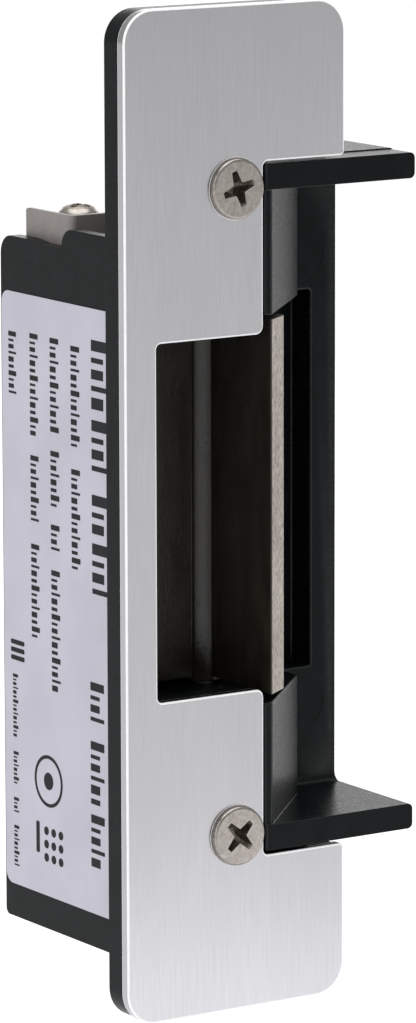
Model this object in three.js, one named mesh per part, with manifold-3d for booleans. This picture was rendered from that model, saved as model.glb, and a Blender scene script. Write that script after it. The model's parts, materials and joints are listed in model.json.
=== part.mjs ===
// Electric door strike, fail-secure: a faceplate and die-cast strike frame with an extended lip, a
// swinging keeper, and behind them a case with the solenoid and the lever that locks the keeper.
//
// Millimetres. X runs across the faceplate towards the lip, Y runs back into the door frame and Z is
// up. Pieces are drawn about the centre of the faceplate's front face. The last lines move the
// finished assembly so that its origin is the lower seat, where the flange rests on the door frame.
import * as THREE from "three";
import { mergeVertices } from "three/addons/utils/BufferGeometryUtils.js";
import Module from "manifold-3d";

const wasm = await Module();
wasm.setup();

// ---------------------------------------------------------------------------------------------
// Driving dimensions
// ---------------------------------------------------------------------------------------------
const GAP = 0.3; // between pieces that are assembled together
const FLUSH = 0.05; // between faces that are clamped flat against each other

const PLATE = { width: 31.75, height: 123.8, thick: 1.5, corner: 4 };
const CUTOUT = { left: -11.4, top: 21.8, bottom: -22.1, corner: 0.7 };
const NOTCH = { left: 4, top: 42.8, bottom: -43, corner: 1, mouth: 0.5 };
const FLANGE = { front: PLATE.thick + FLUSH, back: 4.5, inset: 0.1, opening: 0.2, caseRecess: 0.15 };

const SCREW_Z = [39.8, -39.9]; // the two faceplate screws, on the plate's centre line
const SCREW = { shank: 1.95, head: 3.7, proud: 0.8, length: 12 };
const SINK = { front: -1, mouth: 4.9, throat: 2.4 }; // the cone that is cut out of the plate
const RECESS = { span: 4.4, wing: 0.9, depth: 1.3, turns: [0.3, 0.8] };
const BOSS = { back: 12, radius: 4.1, hole: 2.1, sink: 2.6 };

const LUG = { left: 4.3, right: 26.4, inner: 39.3, outer: 42.5, back: 19.2, corner: 0.7, step: 0.15 };
const RAMP = { left: 5.5, front: 0.3, right: 17.5, back: 12.5, inner: 24 };
const LIP_WALL = { right: LUG.right - LUG.corner, front: 16.2, back: 19.2, fillet: 1.2 };
const POCKET = { right: 21.9, floor: 20.2, back: 21.9, halfHeight: 24 };

const CAVITY = { back: 15.3, backWall: 16.8, backRight: -3, left: -12.2, halfHeight: 25 };
const EAR = { inner: 24, outer: 26.2, lipFront: 13, neckBack: 17 };
const UPPER_EAR = { neck: 1.7, back: 21.2 }; // it holds the keeper's spring
const LOWER_EAR = { neck: 2.2, back: 20.2 }; // it stays clear of the plunger's spring

const PIVOT = { x: 5.6, y: 16.6, pin: 1.6, bore: 1.7 };
const KEEPER_SPRING = { radius: 2.4, wire: 0.4, low: 25.2, high: 29.1, turns: 4, legEnd: 4.6 };
const SPRING_POCKET = { radius: 3.4, top: 30, slotLow: 28.2, slotBack: 25 };
const SPRING_LEG = 1.2; // how far the spring's lower leg stands off the radius through its coil's start
const KEEPER = { left: 5.35, top: 23.4, bottom: -23, barrel: 3, legLeft: -2.5, legFront: 14.8 };
const HEEL = { halfWidth: 2, back: 24.1, top: -4, bottom: -10 };

const CASE = { left: -14, right: 14, wall: 1.6, back: 31.5, bottom: -54.3, top: 32.05, tabTop: 34.2 };
const CASE_FLOOR = 1.8;
const CASE_FRONT = FLANGE.back - FLANGE.caseRecess + FLUSH;
const CASE_TOP_WALL = { low: 28.6, high: 30.2 };
const COVER = { front: 29.9, back: 31.4 };
const COVER_SCREWS = [[-9.6, 23.8], [9.6, 25.4], [-9.6, -23.8], [9.6, -49.6]];
const COVER_BOSS = { front: 23.5, radius: 2.1, hole: 1.25, webHalf: 1.4 };
const UPPER_CASE_SCREW = { x: -6, y: 9.5 };
const LOWER_CASE_SCREW = { x: 0, y: 8.6 };
const TAPPED = 1.3; // radius of a tapped hole for a case screw
const LABEL = { front: 4.8, back: 31.1, bottom: -50, top: 25.2, corner: 1.5, thick: 0.15 };

const BLOCK = { left: -12.1, right: 2.4, front: 17.8, back: 28.8, bottom: 26.6, top: 35.5 };
const WELL_FLOOR = BLOCK.top - 3.1;
const TERMINAL_X = [-8.4, -1.3];
const TERMINAL_Y = 22.2;
const CLAMP_THICK = 0.8;
const LEAD_HOLES = { x: [-6.4, -1.3], y: 26.6, radius: 0.95 };

const LEVER = { x: -9.5, z: -9, front: 20.6, back: 23.6, pin: 1.5, pinTip: 1.2, hub: 2.7 };
const CLIP_GROOVE = { front: 24, back: 24.8, radius: 1.1 };
const PLUNGER = { x: -2.5, y: 22.1, radius: 3.7, stroke: 2.4, linkPin: 1 };
const LEVER_ARM = 7.68; // from the lever's pin to the plunger's link pin, over the travel
const RELEASE_ANGLE = PLUNGER.stroke / LEVER_ARM; // the lever's turn when the solenoid holds it down
const LINK_Z = -14.4; // the link pin with the plunger pulled in
const YOKE = { left: -12, right: 7, front: 14.9, back: 29.3, bottom: -52.2, top: -27, sheet: 1.5 };
const POLE_TOP = -40;

// ---------------------------------------------------------------------------------------------
// Solids: three.js geometry, joined and cut as closed manifolds
// ---------------------------------------------------------------------------------------------
function toSolid(geometry) {
  const bare = geometry.clone();
  bare.deleteAttribute("normal");
  bare.deleteAttribute("uv");
  const merged = mergeVertices(bare, 1e-4);
  return new wasm.Manifold(
    new wasm.Mesh({
      numProp: 3,
      vertProperties: merged.attributes.position.array,
      triVerts: new Uint32Array(merged.index.array),
    }),
  );
}

function toGeometry(solid) {
  const mesh = solid.getMesh();
  const geometry = new THREE.BufferGeometry();
  geometry.setAttribute("position", new THREE.BufferAttribute(mesh.vertProperties, 3));
  geometry.setIndex(new THREE.BufferAttribute(mesh.triVerts, 1));
  geometry.computeVertexNormals();
  return geometry;
}

const join = (...solids) => solids.reduce((all, next) => all.add(next));
const cut = (solid, ...tools) => tools.reduce((left, tool) => left.subtract(tool), solid);

// A closed outline through [x, y, radius] corners, each rounded by an arc of its radius.
function outline(corners) {
  const shape = new THREE.Shape();
  corners.forEach(([x, y, radius = 0], i) => {
    const corner = new THREE.Vector2(x, y);
    const [px, py] = corners[(i + corners.length - 1) % corners.length];
    const [nx, ny] = corners[(i + 1) % corners.length];
    const towardsLast = new THREE.Vector2(px, py).sub(corner).normalize();
    const towardsNext = new THREE.Vector2(nx, ny).sub(corner).normalize();
    const halfAngle = Math.acos(towardsLast.dot(towardsNext)) / 2;
    const reach = radius / Math.tan(halfAngle);
    const start = towardsLast.clone().multiplyScalar(reach).add(corner);
    if (i === 0) shape.moveTo(start.x, start.y);
    else shape.lineTo(start.x, start.y);
    if (radius === 0) return;
    const bisector = towardsLast.clone().add(towardsNext).normalize();
    const centre = bisector.multiplyScalar(radius / Math.sin(halfAngle)).add(corner);
    const end = towardsNext.clone().multiplyScalar(reach).add(corner);
    const from = Math.atan2(start.y - centre.y, start.x - centre.x);
    const to = Math.atan2(end.y - centre.y, end.x - centre.x);
    const clockwise = towardsLast.cross(towardsNext) > 0;
    shape.absarc(centre.x, centre.y, radius, from, to, clockwise);
  });
  shape.closePath();
  return shape;
}

const rectangle = (left, right, low, high, radius = 0) =>
  outline([[left, low, radius], [right, low, radius], [right, high, radius], [left, high, radius]]);

const extruded = (shape, depth, curveSegments) =>
  new THREE.ExtrudeGeometry(shape, { depth, bevelEnabled: false, curveSegments });

// An (x, y) outline standing along Z, an (x, z) outline along Y, and a (y, z) outline along X.
// An arc is divided into twice as many facets as its segments.
const COARSE = 3;
const FINE = 6;
const alongZ = (shape, low, high, segments = COARSE) =>
  toSolid(extruded(shape, high - low, segments).translate(0, 0, low));
const alongY = (shape, front, back, segments = COARSE) =>
  toSolid(extruded(shape, back - front, segments).rotateX(Math.PI / 2).translate(0, back, 0));
const yzToWorld = new THREE.Matrix4().makeBasis(
  new THREE.Vector3(0, 1, 0),
  new THREE.Vector3(0, 0, 1),
  new THREE.Vector3(1, 0, 0),
);
const alongX = (shape, left, right, segments = COARSE) =>
  toSolid(extruded(shape, right - left, segments).applyMatrix4(yzToWorld).translate(left, 0, 0));

const box = (left, right, front, back, low, high) =>
  toSolid(
    new THREE.BoxGeometry(right - left, back - front, high - low).translate(
      (left + right) / 2,
      (front + back) / 2,
      (low + high) / 2,
    ),
  );

// Round solids: radius and end radius from one station to the other along Z or Y.
function rodZ(x, y, low, high, radius, topRadius = radius, segments = 16) {
  const rod = new THREE.CylinderGeometry(topRadius, radius, high - low, segments);
  return toSolid(rod.rotateX(Math.PI / 2).translate(x, y, (low + high) / 2));
}
function rodY(x, z, front, back, radius, backRadius = radius, segments = 16) {
  const rod = new THREE.CylinderGeometry(backRadius, radius, back - front, segments);
  return toSolid(rod.translate(x, (front + back) / 2, z));
}

// A round wire along a curve.
function wire(curve, radius, steps, sides = 6) {
  const section = new THREE.Shape().absarc(0, 0, radius, 0, 2 * Math.PI);
  const options = { steps, curveSegments: sides / 2, extrudePath: curve, bevelEnabled: false };
  return toSolid(new THREE.ExtrudeGeometry(section, options));
}

// A helix about a Z axis.
class Helix extends THREE.Curve {
  constructor(x, y, low, high, radius, turns) {
    super();
    Object.assign(this, { x, y, low, high, radius, turns });
  }
  getPoint(t, target = new THREE.Vector3()) {
    const angle = 2 * Math.PI * this.turns * t;
    const z = this.low + (this.high - this.low) * t;
    const x = this.x + this.radius * Math.cos(angle);
    return target.set(x, this.y + this.radius * Math.sin(angle), z);
  }
}

// ---------------------------------------------------------------------------------------------
// Materials
// ---------------------------------------------------------------------------------------------
const finish = (color, roughness, metalness) =>
  new THREE.MeshStandardMaterial({ color, roughness, metalness });
const MATERIALS = {
  brushedSteel: finish(0xb9b9be, 0.35, 0.9),
  blackCasting: finish(0x20242a, 0.5, 0.2),
  nickelCasting: finish(0xa89c8e, 0.5, 0.7),
  screwSteel: finish(0xb8b2ac, 0.3, 0.9),
  zincSteel: finish(0x8d9096, 0.45, 0.8),
  springSteel: finish(0x9a9ca0, 0.35, 0.9),
  softIron: finish(0x77797c, 0.5, 0.8),
  copperWinding: finish(0x9a4f26, 0.4, 0.5),
  bobbinPlastic: finish(0xe6e2d6, 0.5, 0),
  blockPlastic: finish(0x8f8781, 0.55, 0),
  brass: finish(0xb5904a, 0.35, 0.9),
  labelFilm: finish(0xd4d2dc, 0.45, 0),
  leadInsulation: finish(0x7a1512, 0.5, 0),
};

const assembly = new THREE.Group();
function piece(name, solid, material, parent = assembly) {
  const mesh = new THREE.Mesh(toGeometry(solid), material);
  mesh.name = name;
  parent.add(mesh);
  return mesh;
}

// ---------------------------------------------------------------------------------------------
// Faceplate and its screws
// ---------------------------------------------------------------------------------------------
// The plate and the flange behind it share this outline: a rounded rectangle with the latch cutout
// and the lip's notch opening to the right.
function plateOutline(inset, opening) {
  const side = PLATE.width / 2 - inset;
  const end = PLATE.height / 2 - inset;
  return outline([
    [-side, -end, PLATE.corner],
    [side, -end, PLATE.corner],
    [side, NOTCH.bottom - opening, NOTCH.mouth],
    [NOTCH.left - opening, NOTCH.bottom - opening, CUTOUT.corner],
    [NOTCH.left - opening, CUTOUT.bottom - opening, NOTCH.corner],
    [CUTOUT.left - opening, CUTOUT.bottom - opening, CUTOUT.corner],
    [CUTOUT.left - opening, CUTOUT.top + opening, CUTOUT.corner],
    [NOTCH.left - opening, CUTOUT.top + opening, NOTCH.corner],
    [NOTCH.left - opening, NOTCH.top + opening, CUTOUT.corner],
    [side, NOTCH.top + opening, NOTCH.mouth],
    [side, end, PLATE.corner],
    [-side, end, PLATE.corner],
  ]);
}

function faceplate() {
  const sinks = SCREW_Z.map((z) => rodY(0, z, SINK.front, PLATE.thick + 0.1, SINK.mouth, SINK.throat));
  return cut(alongY(plateOutline(0, 0), 0, PLATE.thick, FINE), ...sinks);
}

function crossRecess(z, turn) {
  const wing = () => new THREE.BoxGeometry(RECESS.span, 2 * RECESS.depth, RECESS.wing);
  const placed = (geometry) => toSolid(geometry.rotateY(turn).translate(0, -SCREW.proud, z));
  return join(placed(wing()), placed(wing().rotateY(Math.PI / 2)));
}

function faceplateScrew(z, turn) {
  const profile = [
    [0, -SCREW.proud],
    [3.1, -SCREW.proud],
    [3.5, -0.55],
    [SCREW.head, -0.1],
    [SCREW.head - 0.1, 0.1],
    [SCREW.shank, 1.8],
    [SCREW.shank, SCREW.length - 0.8],
    [1.2, SCREW.length],
    [0, SCREW.length],
  ].map(([radius, y]) => new THREE.Vector2(radius, y));
  const body = new THREE.LatheGeometry(profile, 28).translate(0, 0, z);
  return cut(toSolid(body), crossRecess(z, turn));
}

piece("faceplate", faceplate(), MATERIALS.brushedSteel);
["faceplate_screw_upper", "faceplate_screw_lower"].forEach((name, i) => {
  piece(name, faceplateScrew(SCREW_Z[i], RECESS.turns[i]), MATERIALS.screwSteel);
});

// ---------------------------------------------------------------------------------------------
// Strike frame: flange, screw bosses, extended lip, keeper ears and cavity walls
// ---------------------------------------------------------------------------------------------
function lipSection() {
  return outline([
    [LUG.left, RAMP.front],
    [RAMP.left, RAMP.front],
    [RAMP.right, RAMP.back],
    [RAMP.right, LIP_WALL.front],
    [LIP_WALL.right, LIP_WALL.front],
    [LIP_WALL.right, LIP_WALL.back],
    [LUG.left, LIP_WALL.back],
  ]);
}

function earOutline({ neck, back }) {
  return outline([
    [CAVITY.left, FLANGE.back - 0.2],
    [RAMP.right, EAR.lipFront],
    [RAMP.right, back],
    [neck, back],
    [neck, EAR.neckBack],
    [CAVITY.left, EAR.neckBack],
  ]);
}

// The lug at one end of the lip. Behind the flange its outer face steps out a little.
function lug(end) {
  const shape = (step) => {
    const inner = end * LUG.inner;
    const outer = end * (LUG.outer + step);
    const corners = [[LUG.left, inner], [LUG.right, inner, LUG.corner], [LUG.right, outer, LUG.corner]];
    return outline([...corners, [LUG.left, outer]]);
  };
  return join(alongY(shape(0), 0, LUG.back, 4), alongY(shape(LUG.step), FLANGE.back, LUG.back, 4));
}

// The concave corner between the lip's wall and a lug.
function lipFillet(end) {
  const { right, front, fillet } = LIP_WALL;
  const [y, z] = [front - fillet, end * (LUG.inner - fillet)];
  const [low, high] = [z, z + end * (fillet + 0.1)].sort((a, b) => a - b);
  const round = new THREE.Shape().absarc(y, z, fillet, 0, 2 * Math.PI);
  return cut(box(RAMP.right - 1, right, y, front + 0.1, low, high), alongX(round, 0, right + 1, 8));
}

function lip() {
  const wall = box(RAMP.right - 1, LIP_WALL.right, LIP_WALL.front, LIP_WALL.back, -LUG.inner, LUG.inner);
  const pocket = box(-20, POCKET.right, 0, 40, -POCKET.halfHeight, POCKET.halfHeight);
  const outerX = POCKET.right + 1.5;
  const reach = POCKET.halfHeight + 1.5;
  const rib = box(9.5, CASE.right, LIP_WALL.back - 1, POCKET.back, -LUG.outer, LUG.outer);
  const floor = box(9.5, outerX, POCKET.floor, POCKET.back, -reach, reach);
  const side = box(POCKET.right, outerX, LIP_WALL.back - 1, POCKET.back, -reach, reach);
  return join(
    alongZ(lipSection(), RAMP.inner, LUG.inner + 1),
    alongZ(lipSection(), -LUG.inner - 1, -RAMP.inner),
    lug(1),
    lug(-1),
    lipFillet(1),
    lipFillet(-1),
    cut(wall, pocket),
    cut(rib, box(-20, 40, 0, POCKET.floor, -POCKET.halfHeight, POCKET.halfHeight)),
    floor,
    side,
  );
}

// The case stands in a shallow recess, so that its edges are located and the seats stay clear of it.
function flange() {
  const recess = box(
    CASE.left - GAP,
    CASE.right + GAP,
    FLANGE.back - FLANGE.caseRecess,
    FLANGE.back + 1,
    CASE.bottom - GAP,
    CASE.tabTop + GAP,
  );
  return cut(alongY(plateOutline(FLANGE.inset, FLANGE.opening), FLANGE.front, FLANGE.back, FINE), recess);
}

function strikeFrame() {
  const { front } = FLANGE;
  const bosses = SCREW_Z.map((z) => rodY(0, z, front + 0.5, BOSS.back, BOSS.radius, BOSS.radius, 24));
  const screwHoles = SCREW_Z.map((z) => rodY(0, z, -1, BOSS.back + 1, BOSS.hole));
  const sinks = SCREW_Z.map((z) => rodY(0, z, front - 0.1, front + 0.5, BOSS.sink, BOSS.hole));
  const { left, backRight, back, backWall, halfHeight } = CAVITY;
  const cavityBack = box(left, backRight, back, backWall, -halfHeight, halfHeight);
  const ears = [
    alongZ(earOutline(UPPER_EAR), EAR.inner, EAR.outer),
    alongZ(earOutline(LOWER_EAR), -EAR.outer, -EAR.inner),
  ];
  // The case is screwed to these two tabs.
  const tabFront = FLANGE.back - 0.5;
  const upperTab = box(-9.5, -2.5, tabFront, 13, EAR.outer - 0.5, CASE_TOP_WALL.low - FLUSH);
  const lowerTab = box(-4, 4, tabFront, 12, CASE.bottom + CASE_FLOOR + 0.1, -46);
  // The keeper's pin is pressed up into the frame, and its spring sits in a pocket above the keeper.
  const pinBore = rodZ(PIVOT.x, PIVOT.y, -27, 33.6, PIVOT.pin + 0.06);
  const springPocket = rodZ(PIVOT.x, PIVOT.y, EAR.inner - 1, SPRING_POCKET.top, SPRING_POCKET.radius);
  const legSlot = box(
    PIVOT.x + KEEPER_SPRING.radius - 2 * KEEPER_SPRING.wire,
    PIVOT.x + KEEPER_SPRING.radius + 1,
    PIVOT.y,
    SPRING_POCKET.slotBack,
    SPRING_POCKET.slotLow,
    SPRING_POCKET.top,
  );
  // The lower end is hollow behind the ramp, and cut back where the solenoid stands.
  const hollow = outline([[3, 7], [7.5, 7], [12.2, 11.8], [12.2, 25], [3, 25]]);
  const solenoidSpace = box(-13, YOKE.right + 0.6, YOKE.front - 0.5, 30, -46, -EAR.outer);
  return cut(
    join(flange(), lip(), cavityBack, ...ears, ...bosses, upperTab, lowerTab),
    ...screwHoles,
    ...sinks,
    pinBore,
    springPocket,
    legSlot,
    alongZ(hollow, -37.3, -EAR.outer),
    solenoidSpace,
    rodZ(UPPER_CASE_SCREW.x, UPPER_CASE_SCREW.y, 20, 30, TAPPED),
    rodZ(LOWER_CASE_SCREW.x, LOWER_CASE_SCREW.y, -53, -45, TAPPED),
    rodY(LEVER.x, LEVER.z, 14, 18, LEVER.pinTip + 0.1),
  );
}

piece("strike_frame", strikeFrame(), MATERIALS.blackCasting);

// ---------------------------------------------------------------------------------------------
// Keeper, its pin and its return spring
// ---------------------------------------------------------------------------------------------
function keeper() {
  const section = outline([
    [KEEPER.left, RAMP.front, 0.12],
    [9, 2.85, 0.9],
    [8.8, 9, 4],
    [8.6, PIVOT.y],
    [4, CAVITY.backWall],
    [KEEPER.legLeft, CAVITY.backWall, 0.6],
    [KEEPER.legLeft, KEEPER.legFront, 0.5],
    [KEEPER.left, KEEPER.legFront, 1.5],
  ]);
  const barrelBottom = -EAR.inner + GAP;
  const barrel = rodZ(PIVOT.x, PIVOT.y, barrelBottom, KEEPER.top, KEEPER.barrel, KEEPER.barrel, 24);
  const { halfWidth, back, bottom, top } = HEEL;
  const heel = box(PIVOT.x - halfWidth, PIVOT.x + halfWidth, PIVOT.y, back, bottom, top);
  return cut(
    join(alongZ(section, KEEPER.bottom, KEEPER.top, 8), barrel, heel),
    rodZ(PIVOT.x, PIVOT.y, -30, 30, PIVOT.bore),
    rodZ(PIVOT.x + KEEPER_SPRING.radius, PIVOT.y - SPRING_LEG, 21.6, 24, 1.5 * KEEPER_SPRING.wire),
  );
}

// One wire: up out of the keeper's end face, four turns about the pin, and off into the frame's slot.
function keeperSpring() {
  const { radius, low, high, turns } = KEEPER_SPRING;
  const x = PIVOT.x + radius;
  const path = [
    new THREE.Vector3(x, PIVOT.y - SPRING_LEG, 22),
    new THREE.Vector3(x, PIVOT.y - SPRING_LEG, 23.7),
    new THREE.Vector3(x, PIVOT.y - SPRING_LEG / 2, low - 0.3),
  ];
  const pointsPerTurn = 10;
  const coil = new Helix(PIVOT.x, PIVOT.y, low, high, radius, turns);
  path.push(...coil.getPoints(turns * pointsPerTurn));
  const [legStart, legEnd] = [KEEPER_SPRING.legEnd - 2.6, KEEPER_SPRING.legEnd];
  path.push(new THREE.Vector3(x, PIVOT.y + legStart, high), new THREE.Vector3(x, PIVOT.y + legEnd, high));
  return wire(new THREE.CatmullRomCurve3(path, false, "centripetal"), KEEPER_SPRING.wire, 64);
}

piece("keeper", keeper(), MATERIALS.nickelCasting);
piece(
  "keeper_pivot_pin",
  rodZ(PIVOT.x, PIVOT.y, -EAR.outer + 0.1, 33.5, PIVOT.pin),
  MATERIALS.zincSteel,
);
piece("keeper_spring", keeperSpring(), MATERIALS.springSteel);

// ---------------------------------------------------------------------------------------------
// Case: shell, rear cover, their screws and the side label
// ---------------------------------------------------------------------------------------------
// A countersunk hole up through the case's floor.
const sunkHole = (x, y) =>
  join(
    rodZ(x, y, CASE.bottom - 1, CASE.bottom + CASE_FLOOR + 0.5, 1.6),
    rodZ(x, y, CASE.bottom - 0.1, CASE.bottom + 1.5, 3.1, 1.6),
  );

function caseShell() {
  const sideWall = outline([
    [CASE_FRONT, CASE.bottom],
    [CASE.back, CASE.bottom, 0.8],
    [CASE.back, CASE.top, 2.4],
    [25.5, CASE.top, 3],
    [22, CASE.top - 0.35, 3],
    [17.3, CASE.top - 0.35],
    [17.3, CASE.tabTop, 2.2],
    [CASE_FRONT, CASE.tabTop],
  ]);
  const lipNotch = 22.2;
  const rightWall = outline([
    [CASE_FRONT, CASE.bottom],
    [CASE.back, CASE.bottom, 0.8],
    [CASE.back, CASE_TOP_WALL.high],
    [lipNotch, CASE_TOP_WALL.high],
    [lipNotch, NOTCH.bottom + 0.2],
    [CASE_FRONT, NOTCH.bottom + 0.2],
  ]);
  const inner = CASE.left + CASE.wall;
  const floorTop = CASE.bottom + CASE_FLOOR;
  const floor = box(inner - 0.5, CASE.right - 0.5, CASE_FRONT, CASE.back, CASE.bottom, floorTop);
  const top = box(
    inner - 0.5,
    CASE.right - 0.5,
    CASE_FRONT,
    CASE.back,
    CASE_TOP_WALL.low,
    CASE_TOP_WALL.high,
  );
  const overLip = box(1.6, 30, 0, lipNotch, 20, 40);
  const aroundBlock = box(inner, BLOCK.right + GAP, BLOCK.front - GAP, BLOCK.back + GAP, 20, 40);
  const bossBack = COVER.front - FLUSH;
  const bosses = COVER_SCREWS.map(([x, z]) => {
    const insideWall = Math.sign(x) * (CASE.right - CASE.wall + 0.3);
    const [left, right] = [x, insideWall].sort((a, b) => a - b);
    const { front, radius, webHalf } = COVER_BOSS;
    return join(
      rodY(x, z, front, bossBack, radius),
      box(left, right, front, bossBack, z - webHalf, z + webHalf),
    );
  });
  const shell = join(
    alongX(sideWall, CASE.left, inner, FINE),
    alongX(rightWall, CASE.right - CASE.wall, CASE.right, FINE),
    floor,
    cut(top, overLip, aroundBlock),
    ...bosses,
  );
  return cut(
    shell,
    ...COVER_SCREWS.map(([x, z]) => rodY(x, z, COVER_BOSS.front + 1, CASE.back + 0.5, COVER_BOSS.hole)),
    rodZ(UPPER_CASE_SCREW.x, UPPER_CASE_SCREW.y, CASE_TOP_WALL.low - 1, CASE_TOP_WALL.high + 1, 1.6),
    sunkHole(LOWER_CASE_SCREW.x, LOWER_CASE_SCREW.y),
    ...YOKE_SCREW_X.map((x) => sunkHole(x, PLUNGER.y)),
  );
}

const COVER_SINK = { hole: 1.45, mouth: 2.9, deep: 1.3 };

function rearCover() {
  const edge = CASE.right - CASE.wall - GAP;
  const shape = rectangle(-edge, edge, CASE.bottom + CASE_FLOOR + GAP, CASE_TOP_WALL.low - GAP, 1);
  return cut(
    alongY(shape, COVER.front, COVER.back),
    ...COVER_SCREWS.map(([x, z]) => rodY(x, z, COVER.front - 1, COVER.back + 1, COVER_SINK.hole)),
    ...COVER_SCREWS.map(([x, z]) =>
      rodY(x, z, COVER.back - COVER_SINK.deep, COVER.back + 0.1, COVER_SINK.hole, COVER_SINK.mouth),
    ),
  );
}

// A countersunk screw drawn head up along +Z with its flat top at z = 0.
function countersunkScrew(shank, head, length) {
  const profile = [
    [0, -length],
    [shank * 0.6, -length],
    [shank, -length + 0.6],
    [shank, -1.2],
    [head, -0.15],
    [head, 0],
    [0, 0],
  ].map(([radius, z]) => new THREE.Vector2(radius, z));
  const body = toSolid(new THREE.LatheGeometry(profile, 16).rotateX(Math.PI / 2));
  const wing = () => new THREE.BoxGeometry(head * 1.3, 0.6, 1.7);
  return cut(body, toSolid(wing()), toSolid(wing().rotateZ(Math.PI / 2)));
}

// A pan-head screw drawn the same way: the head's top is at z = head height.
function panScrew(shank, head, height, length, recess) {
  const profile = [
    [0, -length],
    [shank * 0.6, -length],
    [shank, -length + 0.6],
    [shank, 0],
    [head, 0],
    [head, height * 0.5],
    [head * 0.82, height * 0.86],
    [head * 0.5, height],
    [0, height],
  ].map(([radius, z]) => new THREE.Vector2(radius, z));
  const body = toSolid(new THREE.LatheGeometry(profile, 18).rotateX(Math.PI / 2));
  const wing = () => new THREE.BoxGeometry(head * 1.25, recess, 2 * height * 0.6);
  const placed = (geometry) => toSolid(geometry.translate(0, 0, height));
  return cut(body, placed(wing()), placed(wing().rotateZ(Math.PI / 2)));
}

const YOKE_SCREW_X = [PLUNGER.x - 6.6, PLUNGER.x + 6.6];

piece("case_shell", caseShell(), MATERIALS.blackCasting);
piece("rear_cover", rearCover(), MATERIALS.blackCasting);
COVER_SCREWS.forEach(([x, z], i) => {
  const screw = piece(`cover_screw_${i + 1}`, countersunkScrew(1.15, 2.4, 5.5), MATERIALS.zincSteel);
  screw.rotation.x = -Math.PI / 2;
  screw.position.set(x, COVER.back, z);
});
const upperCaseScrew = piece("case_screw_upper", panScrew(1.2, 2.4, 1.5, 5, 0.6), MATERIALS.zincSteel);
upperCaseScrew.position.set(UPPER_CASE_SCREW.x, UPPER_CASE_SCREW.y, CASE_TOP_WALL.high + FLUSH);
const lowerCaseScrew = piece("case_screw_lower", countersunkScrew(1.2, 2.6, 6.5), MATERIALS.zincSteel);
lowerCaseScrew.rotation.x = Math.PI;
lowerCaseScrew.position.set(LOWER_CASE_SCREW.x, LOWER_CASE_SCREW.y, CASE.bottom);

const labelShape = outline([
  [LABEL.front, LABEL.bottom],
  [LABEL.back, LABEL.bottom, LABEL.corner],
  [LABEL.back, LABEL.top, LABEL.corner],
  [LABEL.front, LABEL.top],
]);
const labelInside = CASE.left - FLUSH;
piece("side_label", alongX(labelShape, labelInside - LABEL.thick, labelInside), MATERIALS.labelFilm);

// ---------------------------------------------------------------------------------------------
// Terminal block, its screws and clamps
// ---------------------------------------------------------------------------------------------
function terminalBlock() {
  const plan = outline([
    [BLOCK.left, BLOCK.front, 0.8],
    [BLOCK.right, BLOCK.front, 0.8],
    [BLOCK.right, BLOCK.back, 0.4],
    [BLOCK.left, BLOCK.back, 0.4],
  ]);
  const side = outline([
    [BLOCK.front, BLOCK.bottom],
    [BLOCK.back, BLOCK.bottom],
    [BLOCK.back, BLOCK.top, 1],
    [BLOCK.front, BLOCK.top],
  ]);
  const body = alongZ(plan, BLOCK.bottom, BLOCK.top).intersect(alongX(side, BLOCK.left, BLOCK.right));
  const wellWalls = { left: BLOCK.left + 1.2, front: BLOCK.front + 1, top: BLOCK.top - 1 };
  const lowered = box(wellWalls.left, 5, wellWalls.front, BLOCK.back + 1, wellWalls.top, BLOCK.top + 1);
  const wells = TERMINAL_X.map((x) =>
    box(x - 3.2, x + 3.2, TERMINAL_Y - 3.3, BLOCK.back + 1, WELL_FLOOR, BLOCK.top + 1),
  );
  const shankHoles = TERMINAL_X.map((x) => rodZ(x, TERMINAL_Y, 28.5, 34, 1.5));
  const leadHoles = LEAD_HOLES.x.map((x) => leadHole(x));
  return cut(body, lowered, ...wells, ...shankHoles, ...leadHoles);
}

const leadHole = (x) =>
  rodZ(x, LEAD_HOLES.y, 26, 36, LEAD_HOLES.radius, LEAD_HOLES.radius, 12);

function terminalClamp(x, leadX) {
  const bottom = WELL_FLOOR + FLUSH;
  const plate = box(x - 3, x + 3, TERMINAL_Y - 3, TERMINAL_Y + 5.6, bottom, bottom + CLAMP_THICK);
  return cut(
    plate,
    rodZ(x, TERMINAL_Y, 30, 36, 1.55),
    leadHole(leadX),
  );
}

piece("terminal_block", terminalBlock(), MATERIALS.blockPlastic);
TERMINAL_X.forEach((x, i) => {
  piece(`terminal_clamp_${i + 1}`, terminalClamp(x, LEAD_HOLES.x[i]), MATERIALS.brass);
  const screw = piece(`terminal_screw_${i + 1}`, panScrew(1.4, 2.9, 3, 4.4, 0.8), MATERIALS.screwSteel);
  screw.rotation.z = 0.5 + i;
  screw.position.set(x, TERMINAL_Y, WELL_FLOOR + FLUSH + CLAMP_THICK + FLUSH);
});

// ---------------------------------------------------------------------------------------------
// Lock lever on its shoulder pin, drawn about the pin in the locked position
// ---------------------------------------------------------------------------------------------
const leverGroup = new THREE.Group();
leverGroup.position.set(LEVER.x, 0, LEVER.z);
leverGroup.rotation.y = RELEASE_ANGLE;
assembly.add(leverGroup);

function lockLever() {
  const noseRadius = 12.65;
  const arm = new THREE.Shape();
  arm.moveTo(0, -LEVER.hub);
  arm.lineTo(4.5, -5.4);
  arm.lineTo(10, -5.4);
  arm.lineTo(noseRadius * Math.cos(-0.25), noseRadius * Math.sin(-0.25));
  arm.absarc(0, 0, noseRadius, -0.25, Math.asin(1.7 / noseRadius), false);
  arm.lineTo(11.4, 1.7);
  arm.lineTo(8.3, 0);
  arm.lineTo(3, 0);
  arm.lineTo(0, LEVER.hub);
  arm.closePath();
  const slot = rectangle(5.7, 9.7, -4.2, -1.85, 1.1);
  return cut(
    join(
      alongY(arm, LEVER.front, LEVER.back),
      rodY(0, 0, LEVER.front, LEVER.back, LEVER.hub),
    ),
    rodY(0, 0, 15, 30, LEVER.pin + 0.08),
    alongY(slot, 15, 30),
  );
}

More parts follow.
